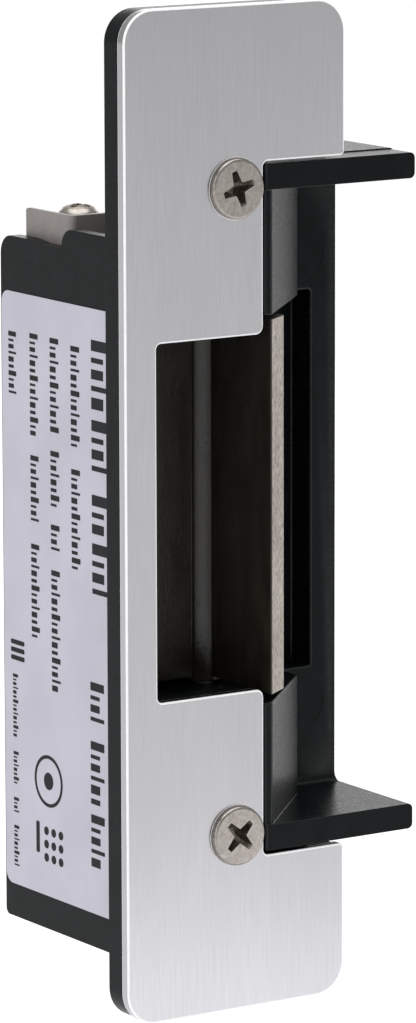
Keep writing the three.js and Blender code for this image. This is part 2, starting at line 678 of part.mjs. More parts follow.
function leverPin() {
  const y = { tip: 15.5, wall: CAVITY.backWall + FLUSH, end: 25.6 };
  const { front, back, radius } = CLIP_GROOVE;
  const groove = cut(
    rodY(LEVER.x, LEVER.z, front, back, LEVER.pin + 1),
    rodY(LEVER.x, LEVER.z, front - 0.1, back + 0.1, radius),
  );
  return cut(
    join(
      rodY(LEVER.x, LEVER.z, y.tip, y.wall + 1, LEVER.pinTip),
      rodY(LEVER.x, LEVER.z, y.wall, y.end, LEVER.pin),
    ),
    groove,
  );
}

function leverClip() {
  const { front, back, radius } = CLIP_GROOVE;
  return cut(
    rodY(LEVER.x, LEVER.z, front + 0.1, back - 0.1, 2.6),
    rodY(LEVER.x, LEVER.z, front, back + 0.2, radius + 0.15),
    box(LEVER.x - 0.9, LEVER.x + 0.9, front, back + 0.2, LEVER.z - 4, LEVER.z),
  );
}

const spacerBack = LEVER.front - 0.15;
piece("lock_lever", lockLever(), MATERIALS.zincSteel, leverGroup);
piece("lock_lever_pin", leverPin(), MATERIALS.zincSteel);
piece(
  "lock_lever_spacer",
  cut(
    rodY(LEVER.x, LEVER.z, CAVITY.backWall + 2 * FLUSH, spacerBack, 2.5),
    rodY(LEVER.x, LEVER.z, 16, 21, LEVER.pin + 0.08),
  ),
  MATERIALS.brass,
);
piece("lock_lever_clip", leverClip(), MATERIALS.springSteel);

// ---------------------------------------------------------------------------------------------
// Solenoid: yoke, top plate, bobbin, winding, pole, plunger, link pin and return spring
// ---------------------------------------------------------------------------------------------
const axisRod = (low, high, radius, topRadius = radius, segments = 20) =>
  rodZ(PLUNGER.x, PLUNGER.y, low, high, radius, topRadius, segments);
const LEAD_X = [-5, 0]; // where the leads leave the winding
const LEAD_Y = 28.1;
const LEAD = { radius: 0.6, hole: 0.9, laneX: [-6.4, 4.6], laneY: 27.6 };
const COIL = { bottom: -48.9, top: -28.9, cheek: 1, tube: 4.2, bore: 3.9, winding: 6.9, rim: 7.1 };

function solenoidYoke() {
  const { left, right, front, back, bottom, top, sheet } = YOKE;
  const shape = outline([
    [left, bottom, 1],
    [right, bottom, 1],
    [right, top - sheet - FLUSH],
    [right - sheet, top - sheet - FLUSH],
    [right - sheet, bottom + sheet],
    [left + sheet, bottom + sheet],
    [left + sheet, top - sheet - FLUSH],
    [left, top - sheet - FLUSH],
  ]);
  const screwHoles = YOKE_SCREW_X.map((x) => rodZ(x, PLUNGER.y, -53, -50, 1.25));
  return cut(alongY(shape, front, back), axisRod(-53, -50, 2.5), ...screwHoles);
}

function solenoidTopPlate() {
  const { left, right, front, back, top, sheet } = YOKE;
  return cut(
    box(left, right, front, back, top - sheet, top),
    axisRod(-30, -26, PLUNGER.radius + 0.3),
    ...LEAD_X.map((x) => rodZ(x, LEAD_Y, -30, -26, LEAD.hole, LEAD.hole, 10)),
  );
}

function coilBobbin() {
  const body = join(
    axisRod(COIL.bottom, COIL.bottom + COIL.cheek, COIL.rim),
    axisRod(COIL.top - COIL.cheek, COIL.top, COIL.rim),
    axisRod(COIL.bottom, COIL.top, COIL.tube + 0.6),
  );
  const leadNotches = LEAD_X.map((x) => rodZ(x, LEAD_Y, -31, -28, LEAD.hole, LEAD.hole, 10));
  return cut(body, axisRod(-50, -28, COIL.bore), ...leadNotches);
}

function plunger() {
  const tip = POLE_TOP + GAP;
  const forkFloor = LINK_Z - 3.7;
  const top = LINK_Z + 1.6;
  const collar = axisRod(-19.7, -18.5, 5, 5, 28);
  return cut(
    join(axisRod(tip, top, PLUNGER.radius), collar),
    box(-10, 5, LEVER.front - GAP, LEVER.back + GAP, forkFloor, 0),
    rodY(PLUNGER.x, LINK_Z, 15, 30, PLUNGER.linkPin + 0.05),
  );
}

// Each lead rises from the winding's top, runs up the back of the case and enters the block.
function coilLead(i) {
  const x = LEAD_X[i];
  const laneX = LEAD.laneX[i];
  const stops = [
    [x, LEAD_Y, -30.1],
    [x, LEAD_Y, -27],
    [laneX, LEAD.laneY, -22],
    [laneX, LEAD.laneY, -5],
    [laneX, LEAD.laneY, 14],
    [LEAD_HOLES.x[i], LEAD_HOLES.y, 23.5],
    [LEAD_HOLES.x[i], LEAD_HOLES.y, 27],
    [LEAD_HOLES.x[i], LEAD_HOLES.y, 32],
  ].map(([px, py, pz]) => new THREE.Vector3(px, py, pz));
  return wire(new THREE.CatmullRomCurve3(stops, false, "centripetal"), LEAD.radius, 32);
}

piece("solenoid_yoke", solenoidYoke(), MATERIALS.softIron);
piece("solenoid_top_plate", solenoidTopPlate(), MATERIALS.softIron);
piece("coil_bobbin", coilBobbin(), MATERIALS.bobbinPlastic);
piece(
  "coil_winding",
  cut(
    axisRod(COIL.bottom + COIL.cheek + 0.1, COIL.top - COIL.cheek - 0.3, COIL.winding),
    axisRod(-50, -28, COIL.tube + 0.7),
  ),
  MATERIALS.copperWinding,
);
piece(
  "pole_piece",
  join(axisRod(YOKE.bottom + 0.1, -50, 2.4), axisRod(YOKE.bottom + YOKE.sheet + 0.1, POLE_TOP, 3.7)),
  MATERIALS.softIron,
);
piece("plunger", plunger(), MATERIALS.softIron);
piece(
  "plunger_link_pin",
  rodY(PLUNGER.x, LINK_Z, 18.7, 25.5, PLUNGER.linkPin),
  MATERIALS.zincSteel,
);
piece(
  "plunger_spring",
  wire(new Helix(PLUNGER.x, PLUNGER.y, -26.5, -20.2, 4.4, 5), 0.35, 60),
  MATERIALS.springSteel,
);
YOKE_SCREW_X.forEach((x, i) => {
  const screw = piece(`solenoid_screw_${i + 1}`, countersunkScrew(1.2, 2.6, 4), MATERIALS.zincSteel);
  screw.rotation.x = Math.PI;
  screw.position.set(x, PLUNGER.y, CASE.bottom);
});
LEAD_X.forEach((_, i) => piece(`coil_lead_${i + 1}`, coilLead(i), MATERIALS.leadInsulation));

// ---------------------------------------------------------------------------------------------
// The part's origin: the middle of the flange's lower seat
// ---------------------------------------------------------------------------------------------
const LOWER_SEAT = new THREE.Vector3(0, FLANGE.back, -58);
assembly.position.copy(LOWER_SEAT).negate();
const strike = new THREE.Group();
strike.add(assembly);
export default strike;
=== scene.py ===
# Electric door strike: the look of every piece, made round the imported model.
#
# Pieces are drawn in millimetres about the centre of the faceplate's front face: X runs across the
# plate towards the lip, Y runs back into the door frame and Z is up. at() turns such a place into
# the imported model's metres.
import json
import math

import bmesh
import bpy
import numpy as np
from mathutils import Matrix, Vector
from mathutils.geometry import delaunay_2d_cdt


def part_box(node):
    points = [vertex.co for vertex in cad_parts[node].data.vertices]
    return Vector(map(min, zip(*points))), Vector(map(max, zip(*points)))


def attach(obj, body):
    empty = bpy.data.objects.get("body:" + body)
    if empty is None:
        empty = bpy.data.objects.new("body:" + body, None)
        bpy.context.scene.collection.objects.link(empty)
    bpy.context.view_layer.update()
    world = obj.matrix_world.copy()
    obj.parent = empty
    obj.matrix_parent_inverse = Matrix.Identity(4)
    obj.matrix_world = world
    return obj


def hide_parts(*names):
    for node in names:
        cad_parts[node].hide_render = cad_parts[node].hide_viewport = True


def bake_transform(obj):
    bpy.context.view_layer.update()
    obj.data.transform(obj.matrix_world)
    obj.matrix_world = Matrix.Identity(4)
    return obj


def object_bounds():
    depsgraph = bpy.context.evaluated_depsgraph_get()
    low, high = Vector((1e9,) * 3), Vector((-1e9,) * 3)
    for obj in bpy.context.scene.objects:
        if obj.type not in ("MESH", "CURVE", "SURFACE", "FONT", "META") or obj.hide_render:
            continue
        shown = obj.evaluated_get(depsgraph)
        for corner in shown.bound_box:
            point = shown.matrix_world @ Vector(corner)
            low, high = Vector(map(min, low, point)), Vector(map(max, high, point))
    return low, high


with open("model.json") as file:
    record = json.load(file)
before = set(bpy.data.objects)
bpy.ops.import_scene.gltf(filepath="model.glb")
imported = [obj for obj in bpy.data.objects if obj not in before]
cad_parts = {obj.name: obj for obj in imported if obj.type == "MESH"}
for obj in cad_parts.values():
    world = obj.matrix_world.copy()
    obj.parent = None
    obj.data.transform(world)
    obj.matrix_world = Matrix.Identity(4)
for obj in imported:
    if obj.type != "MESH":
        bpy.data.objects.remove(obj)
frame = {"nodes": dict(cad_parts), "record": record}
cad_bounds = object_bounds()

MM = 0.001
plate_low, plate_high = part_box("faceplate")
PLATE_CENTRE = Vector(
    ((plate_low.x + plate_high.x) / 2, plate_low.y, (plate_low.z + plate_high.z) / 2)
)
record = frame["record"]
BODY_OF = {node: body for body, nodes in record["behaviour"]["bodies"].items() for node in nodes}
SLOT_OF = {part["node"]: part["material_slot"] for part in record["subparts"]}


def at(x, y, z):
    return PLATE_CENTRE + Vector((x, y, z)) * MM


def drawn_box(node):
    """A CAD node's lowest and highest corners in the drawing's millimetres."""
    low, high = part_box(node)
    return (low - PLATE_CENTRE) / MM, (high - PLATE_CENTRE) / MM


# ---- Camera: the angle of a product photograph, from the hinge side and a little above ----
CAMERA_YAW = math.radians(33.29)
CAMERA_PITCH = math.radians(10.13)
CAMERA_ROLL = math.radians(0.15)
CAMERA_TARGET = at(-4.1, 0, 0.8)
CAMERA_DISTANCE = 0.684
CAMERA_LENS = 199.04
CAMERA_SENSOR = 36


def make_camera():
    forward = Vector(
        (
            math.sin(CAMERA_YAW) * math.cos(CAMERA_PITCH),
            math.cos(CAMERA_YAW) * math.cos(CAMERA_PITCH),
            -math.sin(CAMERA_PITCH),
        )
    )
    level = Vector((math.cos(CAMERA_YAW), -math.sin(CAMERA_YAW), 0))
    down = forward.cross(level)
    right = level * math.cos(CAMERA_ROLL) + down * math.sin(CAMERA_ROLL)
    up = level * math.sin(CAMERA_ROLL) - down * math.cos(CAMERA_ROLL)
    data = bpy.data.cameras.new("photo_camera")
    data.lens = CAMERA_LENS
    data.sensor_width = CAMERA_SENSOR
    data.sensor_fit = "AUTO"
    camera = bpy.data.objects.new("photo_camera", data)
    turn = Matrix((right, up, -forward)).transposed().to_4x4()
    camera.matrix_world = Matrix.Translation(CAMERA_TARGET - forward * CAMERA_DISTANCE) @ turn
    bpy.context.scene.collection.objects.link(camera)
    bpy.context.scene.camera = camera


make_camera()


# ---- Materials ----
def colour_socket(sockets, identifier):
    return next(s for s in sockets if s.identifier == identifier)


class Finish:
    """A node material on one Principled shader, with object-space texture sizes in millimetres."""

    def __init__(self, name, base, roughness, metallic, **sockets):
        self.material = bpy.data.materials.new(name)
        self.material.use_nodes = True
        self.tree = self.material.node_tree
        self.shader = self.tree.nodes["Principled BSDF"]
        self.shader.inputs["Base Color"].default_value = (*base, 1)
        self.shader.inputs["Roughness"].default_value = roughness
        self.shader.inputs["Metallic"].default_value = metallic
        for socket, value in sockets.items():
            self.shader.inputs[socket.replace("_", " ")].default_value = value
        self.place = self.tree.nodes.new("ShaderNodeTexCoord").outputs["Object"]

    def link(self, output, target):
        self.tree.links.new(output, target)

    def stretched(self, stretch, shift=0):
        mapping = self.tree.nodes.new("ShaderNodeMapping")
        mapping.inputs["Scale"].default_value = stretch
        mapping.inputs["Location"].default_value = (shift, shift, shift)
        self.link(self.place, mapping.inputs["Vector"])
        return mapping.outputs["Vector"]

    def noise(self, size, stretch=(1, 1, 1), detail=3, shift=0, distortion=0):
        """Cloudy noise whose features are about size millimetres across."""
        node = self.tree.nodes.new("ShaderNodeTexNoise")
        node.inputs["Scale"].default_value = 1 / (size * MM)
        node.inputs["Detail"].default_value = detail
        node.inputs["Distortion"].default_value = distortion
        self.link(self.stretched(stretch, shift), node.inputs["Vector"])
        return node.outputs["Fac"]

    def cells(self, size, stretch=(1, 1, 1)):
        """Distance to the nearest of a scatter of points about size millimetres apart."""
        node = self.tree.nodes.new("ShaderNodeTexVoronoi")
        node.inputs["Scale"].default_value = 1 / (size * MM)
        self.link(self.stretched(stretch), node.inputs["Vector"])
        return node.outputs["Distance"]

    def span(self, factor, low, high, start=0.3, end=0.7):
        """factor from start to end, mapped to low to high and held there."""
        node = self.tree.nodes.new("ShaderNodeMapRange")
        node.inputs["From Min"].default_value = start
        node.inputs["From Max"].default_value = end
        node.inputs["To Min"].default_value = low
        node.inputs["To Max"].default_value = high
        self.link(factor, node.inputs["Value"])
        return node.outputs["Result"]

    def tones(self, factor, stops):
        """A colour that follows factor through (position, colour) stops."""
        node = self.tree.nodes.new("ShaderNodeValToRGB")
        ramp = node.color_ramp
        for index, (position, colour) in enumerate(stops):
            element = ramp.elements[index] if index < 2 else ramp.elements.new(position)
            element.position = position
            element.color = (*colour, 1)
        self.link(factor, node.inputs["Fac"])
        return node.outputs["Color"]

    def colour(self, factor, stops):
        self.link(self.tones(factor, stops), self.shader.inputs["Base Color"])

    def mixed(self, first, second, factor=None):
        """first going over to second as factor rises, or the two multiplied."""
        node = self.tree.nodes.new("ShaderNodeMix")
        node.data_type = "RGBA"
        if factor is None:
            node.blend_type = "MULTIPLY"
            node.inputs["Factor"].default_value = 1
        else:
            self.link(factor, colour_socket(node.inputs, "Factor_Float"))
        self.link(first, colour_socket(node.inputs, "A_Color"))
        self.link(second, colour_socket(node.inputs, "B_Color"))
        return colour_socket(node.outputs, "Result_Color")

    def roughness(self, factor, low, high):
        self.link(self.span(factor, low, high), self.shader.inputs["Roughness"])

    def scaled_sum(self, value, factor, addend):
        """value times factor, plus addend."""
        node = self.tree.nodes.new("ShaderNodeMath")
        node.operation = "MULTIPLY_ADD"
        self.link(value, node.inputs[0])
        node.inputs[1].default_value = factor
        self.link(addend, node.inputs[2])
        return node.outputs["Value"]

    def bump(self, height, depth, strength=1.0):
        """Relief about depth millimetres deep; called again, it adds to what is there."""
        node = self.tree.nodes.new("ShaderNodeBump")
        node.inputs["Distance"].default_value = depth * MM
        node.inputs["Strength"].default_value = strength
        self.link(height, node.inputs["Height"])
        normal = self.shader.inputs["Normal"]
        if normal.links:
            self.link(normal.links[0].from_socket, node.inputs["Normal"])
        self.link(node.outputs["Normal"], normal)


def brushed_faceplate():
    finish = Finish("brushed_stainless", (0.42, 0.42, 0.43), 0.3, 1.0)
    streaks = finish.noise(0.07, (1, 1, 0.012), detail=5)
    broad = finish.noise(7, (1, 1, 0.25), detail=2, shift=0.3)
    fine = finish.tones(streaks, [(0.3, (0.452, 0.446, 0.454)), (0.7, (0.5, 0.494, 0.504))])
    wide = finish.tones(broad, [(0.3, (0.95, 0.95, 0.96)), (0.75, (1, 1, 1))])
    finish.link(finish.mixed(fine, wide), finish.shader.inputs["Base Color"])
    finish.roughness(finish.noise(0.14, (1, 1, 0.02), detail=3, shift=0.1), 0.2, 0.26)
    finish.bump(streaks, 0.0035, 0.4)
    nicks = finish.cells(2.6, (1, 1, 0.7))
    finish.bump(finish.span(nicks, 0, 1, 0.01, 0.035), 0.03, 0.5)
    return finish.material


def painted_edge_highlight():
    # painted highlight: the sheet's rounded edges take a near-white, non-metal colour that stands in for
    # the bright lines light draws along them
    finish = Finish("sheet_edge_painted_highlight", (0.95, 0.95, 0.96), 0.4, 0.0, Specular_IOR_Level=1.0)
    highlight_mottle = finish.noise(0.3, (1, 1, 0.3), detail=4)
    finish.colour(highlight_mottle, [(0.3, (0.9, 0.9, 0.92)), (0.7, (0.99, 0.99, 1))])
    finish.roughness(highlight_mottle, 0.36, 0.5)
    finish.bump(highlight_mottle, 0.006, 0.4)
    return finish.material


def black_paint(name, gloss):
    """Paint with a leathery surface and a few specks; gloss is its specular level."""
    finish = Finish(name, (0.005, 0.006, 0.007), 0.32, 0.0, Specular_IOR_Level=gloss)
    leather = finish.noise(0.35, detail=6, distortion=0.4)
    mottle = finish.noise(3.2, detail=3, shift=0.2)
    finish.colour(mottle, [(0.3, (0.0028, 0.0039, 0.0044)), (0.72, (0.0055, 0.0072, 0.008))])
    finish.roughness(leather, 0.24, 0.38)
    finish.bump(leather, 0.035, 0.45)
    finish.bump(finish.cells(0.55), 0.02, 0.25)
    specks = finish.cells(2.2)
    finish.bump(finish.span(specks, 1, 0, 0.03, 0.07), 0.05, 0.8)
    return finish.material


KEEPER_FACE_LEFT = 5.6  # the keeper's inner faces, left of here, are painted near-black as the cavity's shade; its face is ground bright from here
KEEPER_WORN_EDGE = 0.3  # how far the edge between the painted shade and the ground face wanders
KEEPER_FACE_ROUGHER = 0.22  # roughness that the ground face has more than the faces with the painted shade


def keeper_casting():
    finish = Finish("nickel_keeper_and_painted_shade", (0.5, 0.45, 0.4), 0.42, 1.0)
    grain = finish.noise(0.1, (1, 1, 0.14), detail=6)
    pits = finish.cells(0.34, (1, 1, 0.5))
    base = finish.tones(
        grain,
        [(0.3, (0.07, 0.06, 0.05)), (0.44, (0.36, 0.325, 0.285)), (0.72, (0.72, 0.67, 0.61))],
    )
    worn = finish.tones(
        finish.noise(5, (1, 1, 0.35), detail=3, shift=0.5),
        [(0.3, (0.72, 0.68, 0.64)), (0.7, (1, 1, 1))],
    )
    ground = finish.mixed(base, worn)
    # painted shade: a near-black colour on the keeper's inner faces in the cavity, standing in for the
    # shade that falls there
    painted_cavity_shade = finish.tones(
        finish.noise(2.5, (1, 1, 0.3), detail=5, shift=0.2),
        [(0.3, (0.011, 0.0095, 0.006)), (0.75, (0.03, 0.026, 0.019))],
    )
    sides = finish.tree.nodes.new("ShaderNodeSeparateXYZ")
    finish.link(finish.place, sides.inputs["Vector"])
    wander = finish.noise(0.25, (1, 1, 0.5), detail=5, shift=0.9)
    across = finish.scaled_sum(wander, KEEPER_WORN_EDGE * MM, sides.outputs["X"])
    edge = at(KEEPER_FACE_LEFT + KEEPER_WORN_EDGE / 2, 0, 0).x
    face = finish.span(across, 0, 1, edge, edge + 0.04 * MM)
    finish.link(finish.mixed(painted_cavity_shade, ground, face), finish.shader.inputs["Base Color"])
    finish.link(face, finish.shader.inputs["Metallic"])
    rough = finish.scaled_sum(face, KEEPER_FACE_ROUGHER, finish.span(grain, 0.22, 0.12))
    finish.link(rough, finish.shader.inputs["Roughness"])
    finish.bump(grain, 0.04, 0.7)
    finish.bump(finish.span(pits, 0, 1, 0.05, 0.3), 0.03, 0.5)
    return finish.material


def screw_steel():
    finish = Finish("nickel_on_screw", (0.3, 0.27, 0.245), 0.26, 1.0)
    swirl = finish.noise(0.5, detail=4)
    finish.colour(swirl, [(0.3, (0.29, 0.262, 0.238)), (0.7, (0.4, 0.37, 0.34))])
    finish.roughness(finish.noise(0.22, detail=5, shift=0.4), 0.2, 0.34)
    finish.bump(finish.noise(0.12, detail=4, shift=0.7), 0.008, 0.5)
    return finish.material


def screw_shade():
    """Painted shade: a darker, duller metal colour for the inside of a screw's recess."""
    finish = Finish("recess_painted_shade", (0.2, 0.18, 0.16), 0.4, 1.0)
    shade_mottle = finish.noise(0.35, detail=4, shift=0.8)
    finish.colour(shade_mottle, [(0.3, (0.15, 0.125, 0.105)), (0.7, (0.42, 0.375, 0.33))])
    finish.roughness(shade_mottle, 0.34, 0.5)
    finish.bump(shade_mottle, 0.01, 0.4)
    return finish.material


def zinc_steel():
    finish = Finish("zinc_on_steel", (0.5, 0.51, 0.53), 0.36, 1.0)
    spangle = finish.cells(1.1)
    finish.colour(spangle, [(0.1, (0.44, 0.45, 0.48)), (0.7, (0.57, 0.57, 0.56))])
    finish.roughness(finish.noise(0.4, detail=4), 0.3, 0.46)
    finish.bump(finish.noise(0.15, detail=4, shift=0.2), 0.01, 0.4)
    return finish.material


def spring_steel():
    finish = Finish("drawn_spring_wire", (0.42, 0.42, 0.44), 0.3, 1.0)
    drawn = finish.noise(0.3, detail=4)
    finish.colour(drawn, [(0.3, (0.33, 0.33, 0.36)), (0.7, (0.5, 0.5, 0.5))])
    finish.roughness(drawn, 0.24, 0.38)
    finish.bump(finish.noise(0.08, detail=3), 0.005, 0.4)
    return finish.material


def soft_iron():
    finish = Finish("plated_soft_iron", (0.34, 0.35, 0.36), 0.45, 1.0)
    rolled = finish.noise(0.3, (1, 1, 0.2), detail=5)
    finish.colour(rolled, [(0.3, (0.27, 0.28, 0.3)), (0.7, (0.42, 0.42, 0.43))])
    finish.roughness(finish.noise(1.2, detail=4, shift=0.3), 0.38, 0.55)
    finish.bump(rolled, 0.012, 0.4)
    return finish.material


def copper_winding():
    coat = {"Coat_Weight": 0.5, "Coat_Roughness": 0.15}
    finish = Finish("enamelled_copper", (0.45, 0.16, 0.06), 0.3, 0.7, **coat)
    turns = finish.noise(0.6, (1, 1, 3), detail=3)
    finish.colour(turns, [(0.3, (0.34, 0.105, 0.035)), (0.7, (0.56, 0.215, 0.085))])
    finish.roughness(turns, 0.24, 0.4)
    finish.bump(finish.noise(0.1, (0.2, 0.2, 1), detail=3), 0.006, 0.4)
    return finish.material


def moulded_plastic(name, dark, light, roughness):
    finish = Finish(name, light, roughness, 0.0)
    finish.colour(finish.noise(2.4, detail=4), [(0.3, dark), (0.72, light)])
    finish.roughness(finish.noise(0.5, detail=4, shift=0.6), roughness - 0.07, roughness + 0.08)
    finish.bump(finish.noise(0.22, detail=5, shift=0.1), 0.012, 0.45)
    return finish.material


def brass():
    finish = Finish("stamped_brass", (0.62, 0.46, 0.2), 0.3, 1.0)
    tarnish = finish.noise(1.4, detail=5)
    finish.colour(tarnish, [(0.3, (0.48, 0.34, 0.14)), (0.7, (0.68, 0.52, 0.26))])
    finish.roughness(tarnish, 0.4, 0.24)
    finish.bump(finish.noise(0.15, (1, 0.1, 1), detail=4), 0.008, 0.4)
    return finish.material


def label_film():
    finish = Finish("silver_grey_film", (0.55, 0.535, 0.62), 0.36, 0.0, Specular_IOR_Level=0.5)
    sheen = finish.noise(9, detail=3)
    finish.colour(sheen, [(0.3, (0.485, 0.475, 0.55)), (0.7, (0.535, 0.525, 0.605))])
    finish.roughness(finish.noise(1.5, detail=4, shift=0.3), 0.32, 0.42)
    finish.bump(finish.noise(4, detail=2, shift=0.9), 0.02, 0.3)
    return finish.material


def label_ink():
    finish = Finish("printed_ink", (0.01, 0.011, 0.014), 0.6, 0.0, Specular_IOR_Level=0.2)
    dots = finish.noise(0.2, detail=4)
    finish.colour(dots, [(0.3, (0.007, 0.008, 0.01)), (0.75, (0.018, 0.019, 0.023))])
    finish.roughness(dots, 0.52, 0.66)
    finish.bump(dots, 0.003, 0.3)
    return finish.material


MATERIALS = {
    "brushed_faceplate": brushed_faceplate(),
    "black_casting": black_paint("black_paint_on_casting", 0.09),
    "keeper_casting": keeper_casting(),
    "screw_steel": screw_steel(),
    "zinc_steel": zinc_steel(),
    "spring_steel": spring_steel(),
    "soft_iron": soft_iron(),
    "copper_winding": copper_winding(),
    "bobbin_plastic": moulded_plastic("moulded_nylon", (0.7, 0.67, 0.59), (0.8, 0.775, 0.7), 0.42),
    "block_plastic": moulded_plastic("grey_moulding", (0.22, 0.197, 0.183), (0.275, 0.25, 0.232), 0.4),
    "brass": brass(),
    "label_film": label_film(),
    "lead_insulation": moulded_plastic("wire_sleeve", (0.27, 0.012, 0.012), (0.38, 0.02, 0.018), 0.4),
}
INK = label_ink()
EDGE_HIGHLIGHT_PAINT = painted_edge_highlight()
PAINTED_EDGE = black_paint("black_paint_on_edges", 0.26)
SCREW_SHADE = screw_shade()


# ---- Mesh work ----
def new_object(name, bm):
    """An object from a bmesh drawn in millimetres."""
    for vertex in bm.verts:
        vertex.co = at(*vertex.co)
    mesh = bpy.data.meshes.new(name)
    bm.to_mesh(mesh)
    bm.free()
    obj = bpy.data.objects.new(name, mesh)
    bpy.context.scene.collection.objects.link(obj)
    return obj


def settle(obj, node, material=None, more=(), hides=True, bend=None):
    """Gives a piece the materials of the CAD node that it stands for or lies on, picked by the node's
    slot, and that node's body.

    bend is (body, other body, start, end) for a piece that reaches from one body to another; such a piece
    only has its place fixed in the world and joins no body, and the parts of bend are not used.
    """
    slot = SLOT_OF[node]
    materials = obj.data.materials
    for number, each in enumerate((material or MATERIALS[slot], *more)):
        if number < len(materials):
            materials[number] = each
        else:
            materials.append(each)
    if bend:
        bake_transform(obj)
    else:
        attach(obj, BODY_OF[node])
    if hides:
        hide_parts(node)
    return obj


def arc_points(centre, radius, start, end, steps):
    for step in range(steps + 1):
        angle = start + (end - start) * step / steps
        yield centre + Vector((math.cos(angle), math.sin(angle))) * radius


def outline(corners, steps=10):
    """A closed outline through (x, y, radius) corners, each rounded by an arc of its radius."""
    points = []
    for i, corner in enumerate(corners):
        here = Vector(corner[:2])
        radius = corner[2] if len(corner) > 2 else 0
        if not radius:
            points.append(here)
            continue
        to_last = (Vector(corners[i - 1][:2]) - here).normalized()
        to_next = (Vector(corners[(i + 1) % len(corners)][:2]) - here).normalized()
        half = math.acos(max(-1, min(1, to_last.dot(to_next)))) / 2
        centre = here + (to_last + to_next).normalized() * (radius / math.sin(half))
        start = here + to_last * (radius / math.tan(half)) - centre
        end = here + to_next * (radius / math.tan(half)) - centre
        first = math.atan2(start.y, start.x)
        turn = math.remainder(math.atan2(end.y, end.x) - first, 2 * math.pi)
        points.extend(arc_points(centre, radius, first, first + turn, steps))
    return points


def rectangle(left, right, low, high, radius, steps=6):
    corners = [(left, low, radius), (right, low, radius), (right, high, radius), (left, high, radius)]
    return outline(corners, steps)


AXES = {
    "x": lambda u, v, w: (w, u, v),
    "y": lambda u, v, w: (u, w, v),
    "z": lambda u, v, w: (u, v, w),
}


def skinned(bm, loops, steps, capped=False):
    """Faces from each loop of vertices to the next; a loop of one vertex is a tip."""
    for lower, upper in zip(loops, loops[1:]):
        for i in range(steps):
            j = (i + 1) % steps
            corners = [lower[i % len(lower)], lower[j % len(lower)]]
            corners += [upper[j % len(upper)], upper[i % len(upper)]]
            bm.faces.new(list(dict.fromkeys(corners)))
    if capped:
        bm.faces.new(loops[0])
        bm.faces.new(loops[-1])
    bmesh.ops.recalc_face_normals(bm, faces=bm.faces)
    return bm


def loft(rings, axis="z"):
    """A skin through rings of (u, v) points, each at its own w; all rings have as many points."""
    bm = bmesh.new()
    placed = AXES[axis]
    loops = [[bm.verts.new(placed(p[0], p[1], w)) for p in ring] for ring, w in rings]
    return skinned(bm, loops, len(loops[0]), capped=True)


def prism(points, axis, low, high):
    return loft([(points, low), (points, high)], axis)


def box(left, right, front, back, low, high):
    return prism([(left, front), (right, front), (right, back), (left, back)], "z", low, high)


def circle(x, y, radius, steps=48):
    angles = [2 * math.pi * i / steps for i in range(steps)]
    return [(x + radius * math.cos(a), y + radius * math.sin(a)) for a in angles]


def lathe(profile, axis, x, y, steps=64):
    """Turns (radius, w) stations about an axis through (x, y); a zero radius closes the end."""
    bm = bmesh.new()
    placed = AXES[axis]
    loops = []
    for radius, w in profile:
        ring = circle(x, y, radius, steps) if radius else [(x, y)]
        loops.append([bm.verts.new(placed(px, py, w)) for px, py in ring])
    if profile[0] == profile[-1]:
        for vertex in loops.pop():
            bm.verts.remove(vertex)
        loops.append(loops[0])
    return skinned(bm, loops, steps)


def sweep(path, radius, sides=12):
    """A round wire along a list of points, its two ends slightly rounded."""
    path = [Vector(p) for p in path]
    last = len(path) - 1
    bm = bmesh.new()
    loops = []
    side = (path[1] - path[0]).orthogonal().normalized()
    for i, place in enumerate(path):
        forward = (path[min(i + 1, last)] - path[max(i - 1, 0)]).normalized()
        side = (side - forward * side.dot(forward)).normalized()
        other = forward.cross(side)
        angles = [2 * math.pi * k / sides for k in range(sides)]
        offsets = [side * math.cos(a) + other * math.sin(a) for a in angles]
        stations = [(place, 1)]
        if i == 0:
            stations = [(place, 0.7), (place + forward * radius * 0.3, 1)]
        if i == last:
            stations = [(place - forward * radius * 0.3, 1), (place, 0.7)]
        for centre, scale in stations:
            loops.append([bm.verts.new(centre + o * radius * scale) for o in offsets])
    return skinned(bm, loops, sides, capped=True)


def smooth_path(stops, steps):
    """Points along a centripetal Catmull-Rom curve through the stops, steps to a stretch."""
    stops = [Vector(s) for s in stops]
    ends = [stops[0] * 2 - stops[1], *stops, stops[-1] * 2 - stops[-2]]
    knots = [0.0]
    for a, b in zip(ends, ends[1:]):
        knots.append(knots[-1] + math.sqrt((b - a).length))
    points = []
    for i in range(1, len(ends) - 2):
        p0, p1, p2, p3 = ends[i - 1 : i + 3]
        t0, t1, t2, t3 = knots[i - 1 : i + 3]
        for step in range(steps):
            t = t1 + (t2 - t1) * step / steps
            a1 = p0 * ((t1 - t) / (t1 - t0)) + p1 * ((t - t0) / (t1 - t0))
            a2 = p1 * ((t2 - t) / (t2 - t1)) + p2 * ((t - t1) / (t2 - t1))
            a3 = p2 * ((t3 - t) / (t3 - t2)) + p3 * ((t - t2) / (t3 - t2))
            b1 = a1 * ((t2 - t) / (t2 - t0)) + a2 * ((t - t0) / (t2 - t0))
            b2 = a2 * ((t3 - t) / (t3 - t1)) + a3 * ((t - t1) / (t3 - t1))
            points.append(b1 * ((t2 - t) / (t2 - t1)) + b2 * ((t - t1) / (t2 - t1)))
    return [*points, stops[-1]]


def helix(x, y, radius, low, high, turns, steps=28):
    """Points of a helix about a Z axis, starting on its +X side."""
    count = round(turns * steps)
    return [
        (
            x + radius * math.cos(2 * math.pi * i / steps),
            y + radius * math.sin(2 * math.pi * i / steps),
            low + (high - low) * i / count,
        )
        for i in range(count + 1)
    ]


def applied(obj):
    """Turns an object's modifiers into its mesh."""
    depsgraph = bpy.context.evaluated_depsgraph_get()
    mesh = bpy.data.meshes.new_from_object(obj.evaluated_get(depsgraph))
    obj.modifiers.clear()
    obj.data = mesh
    return obj


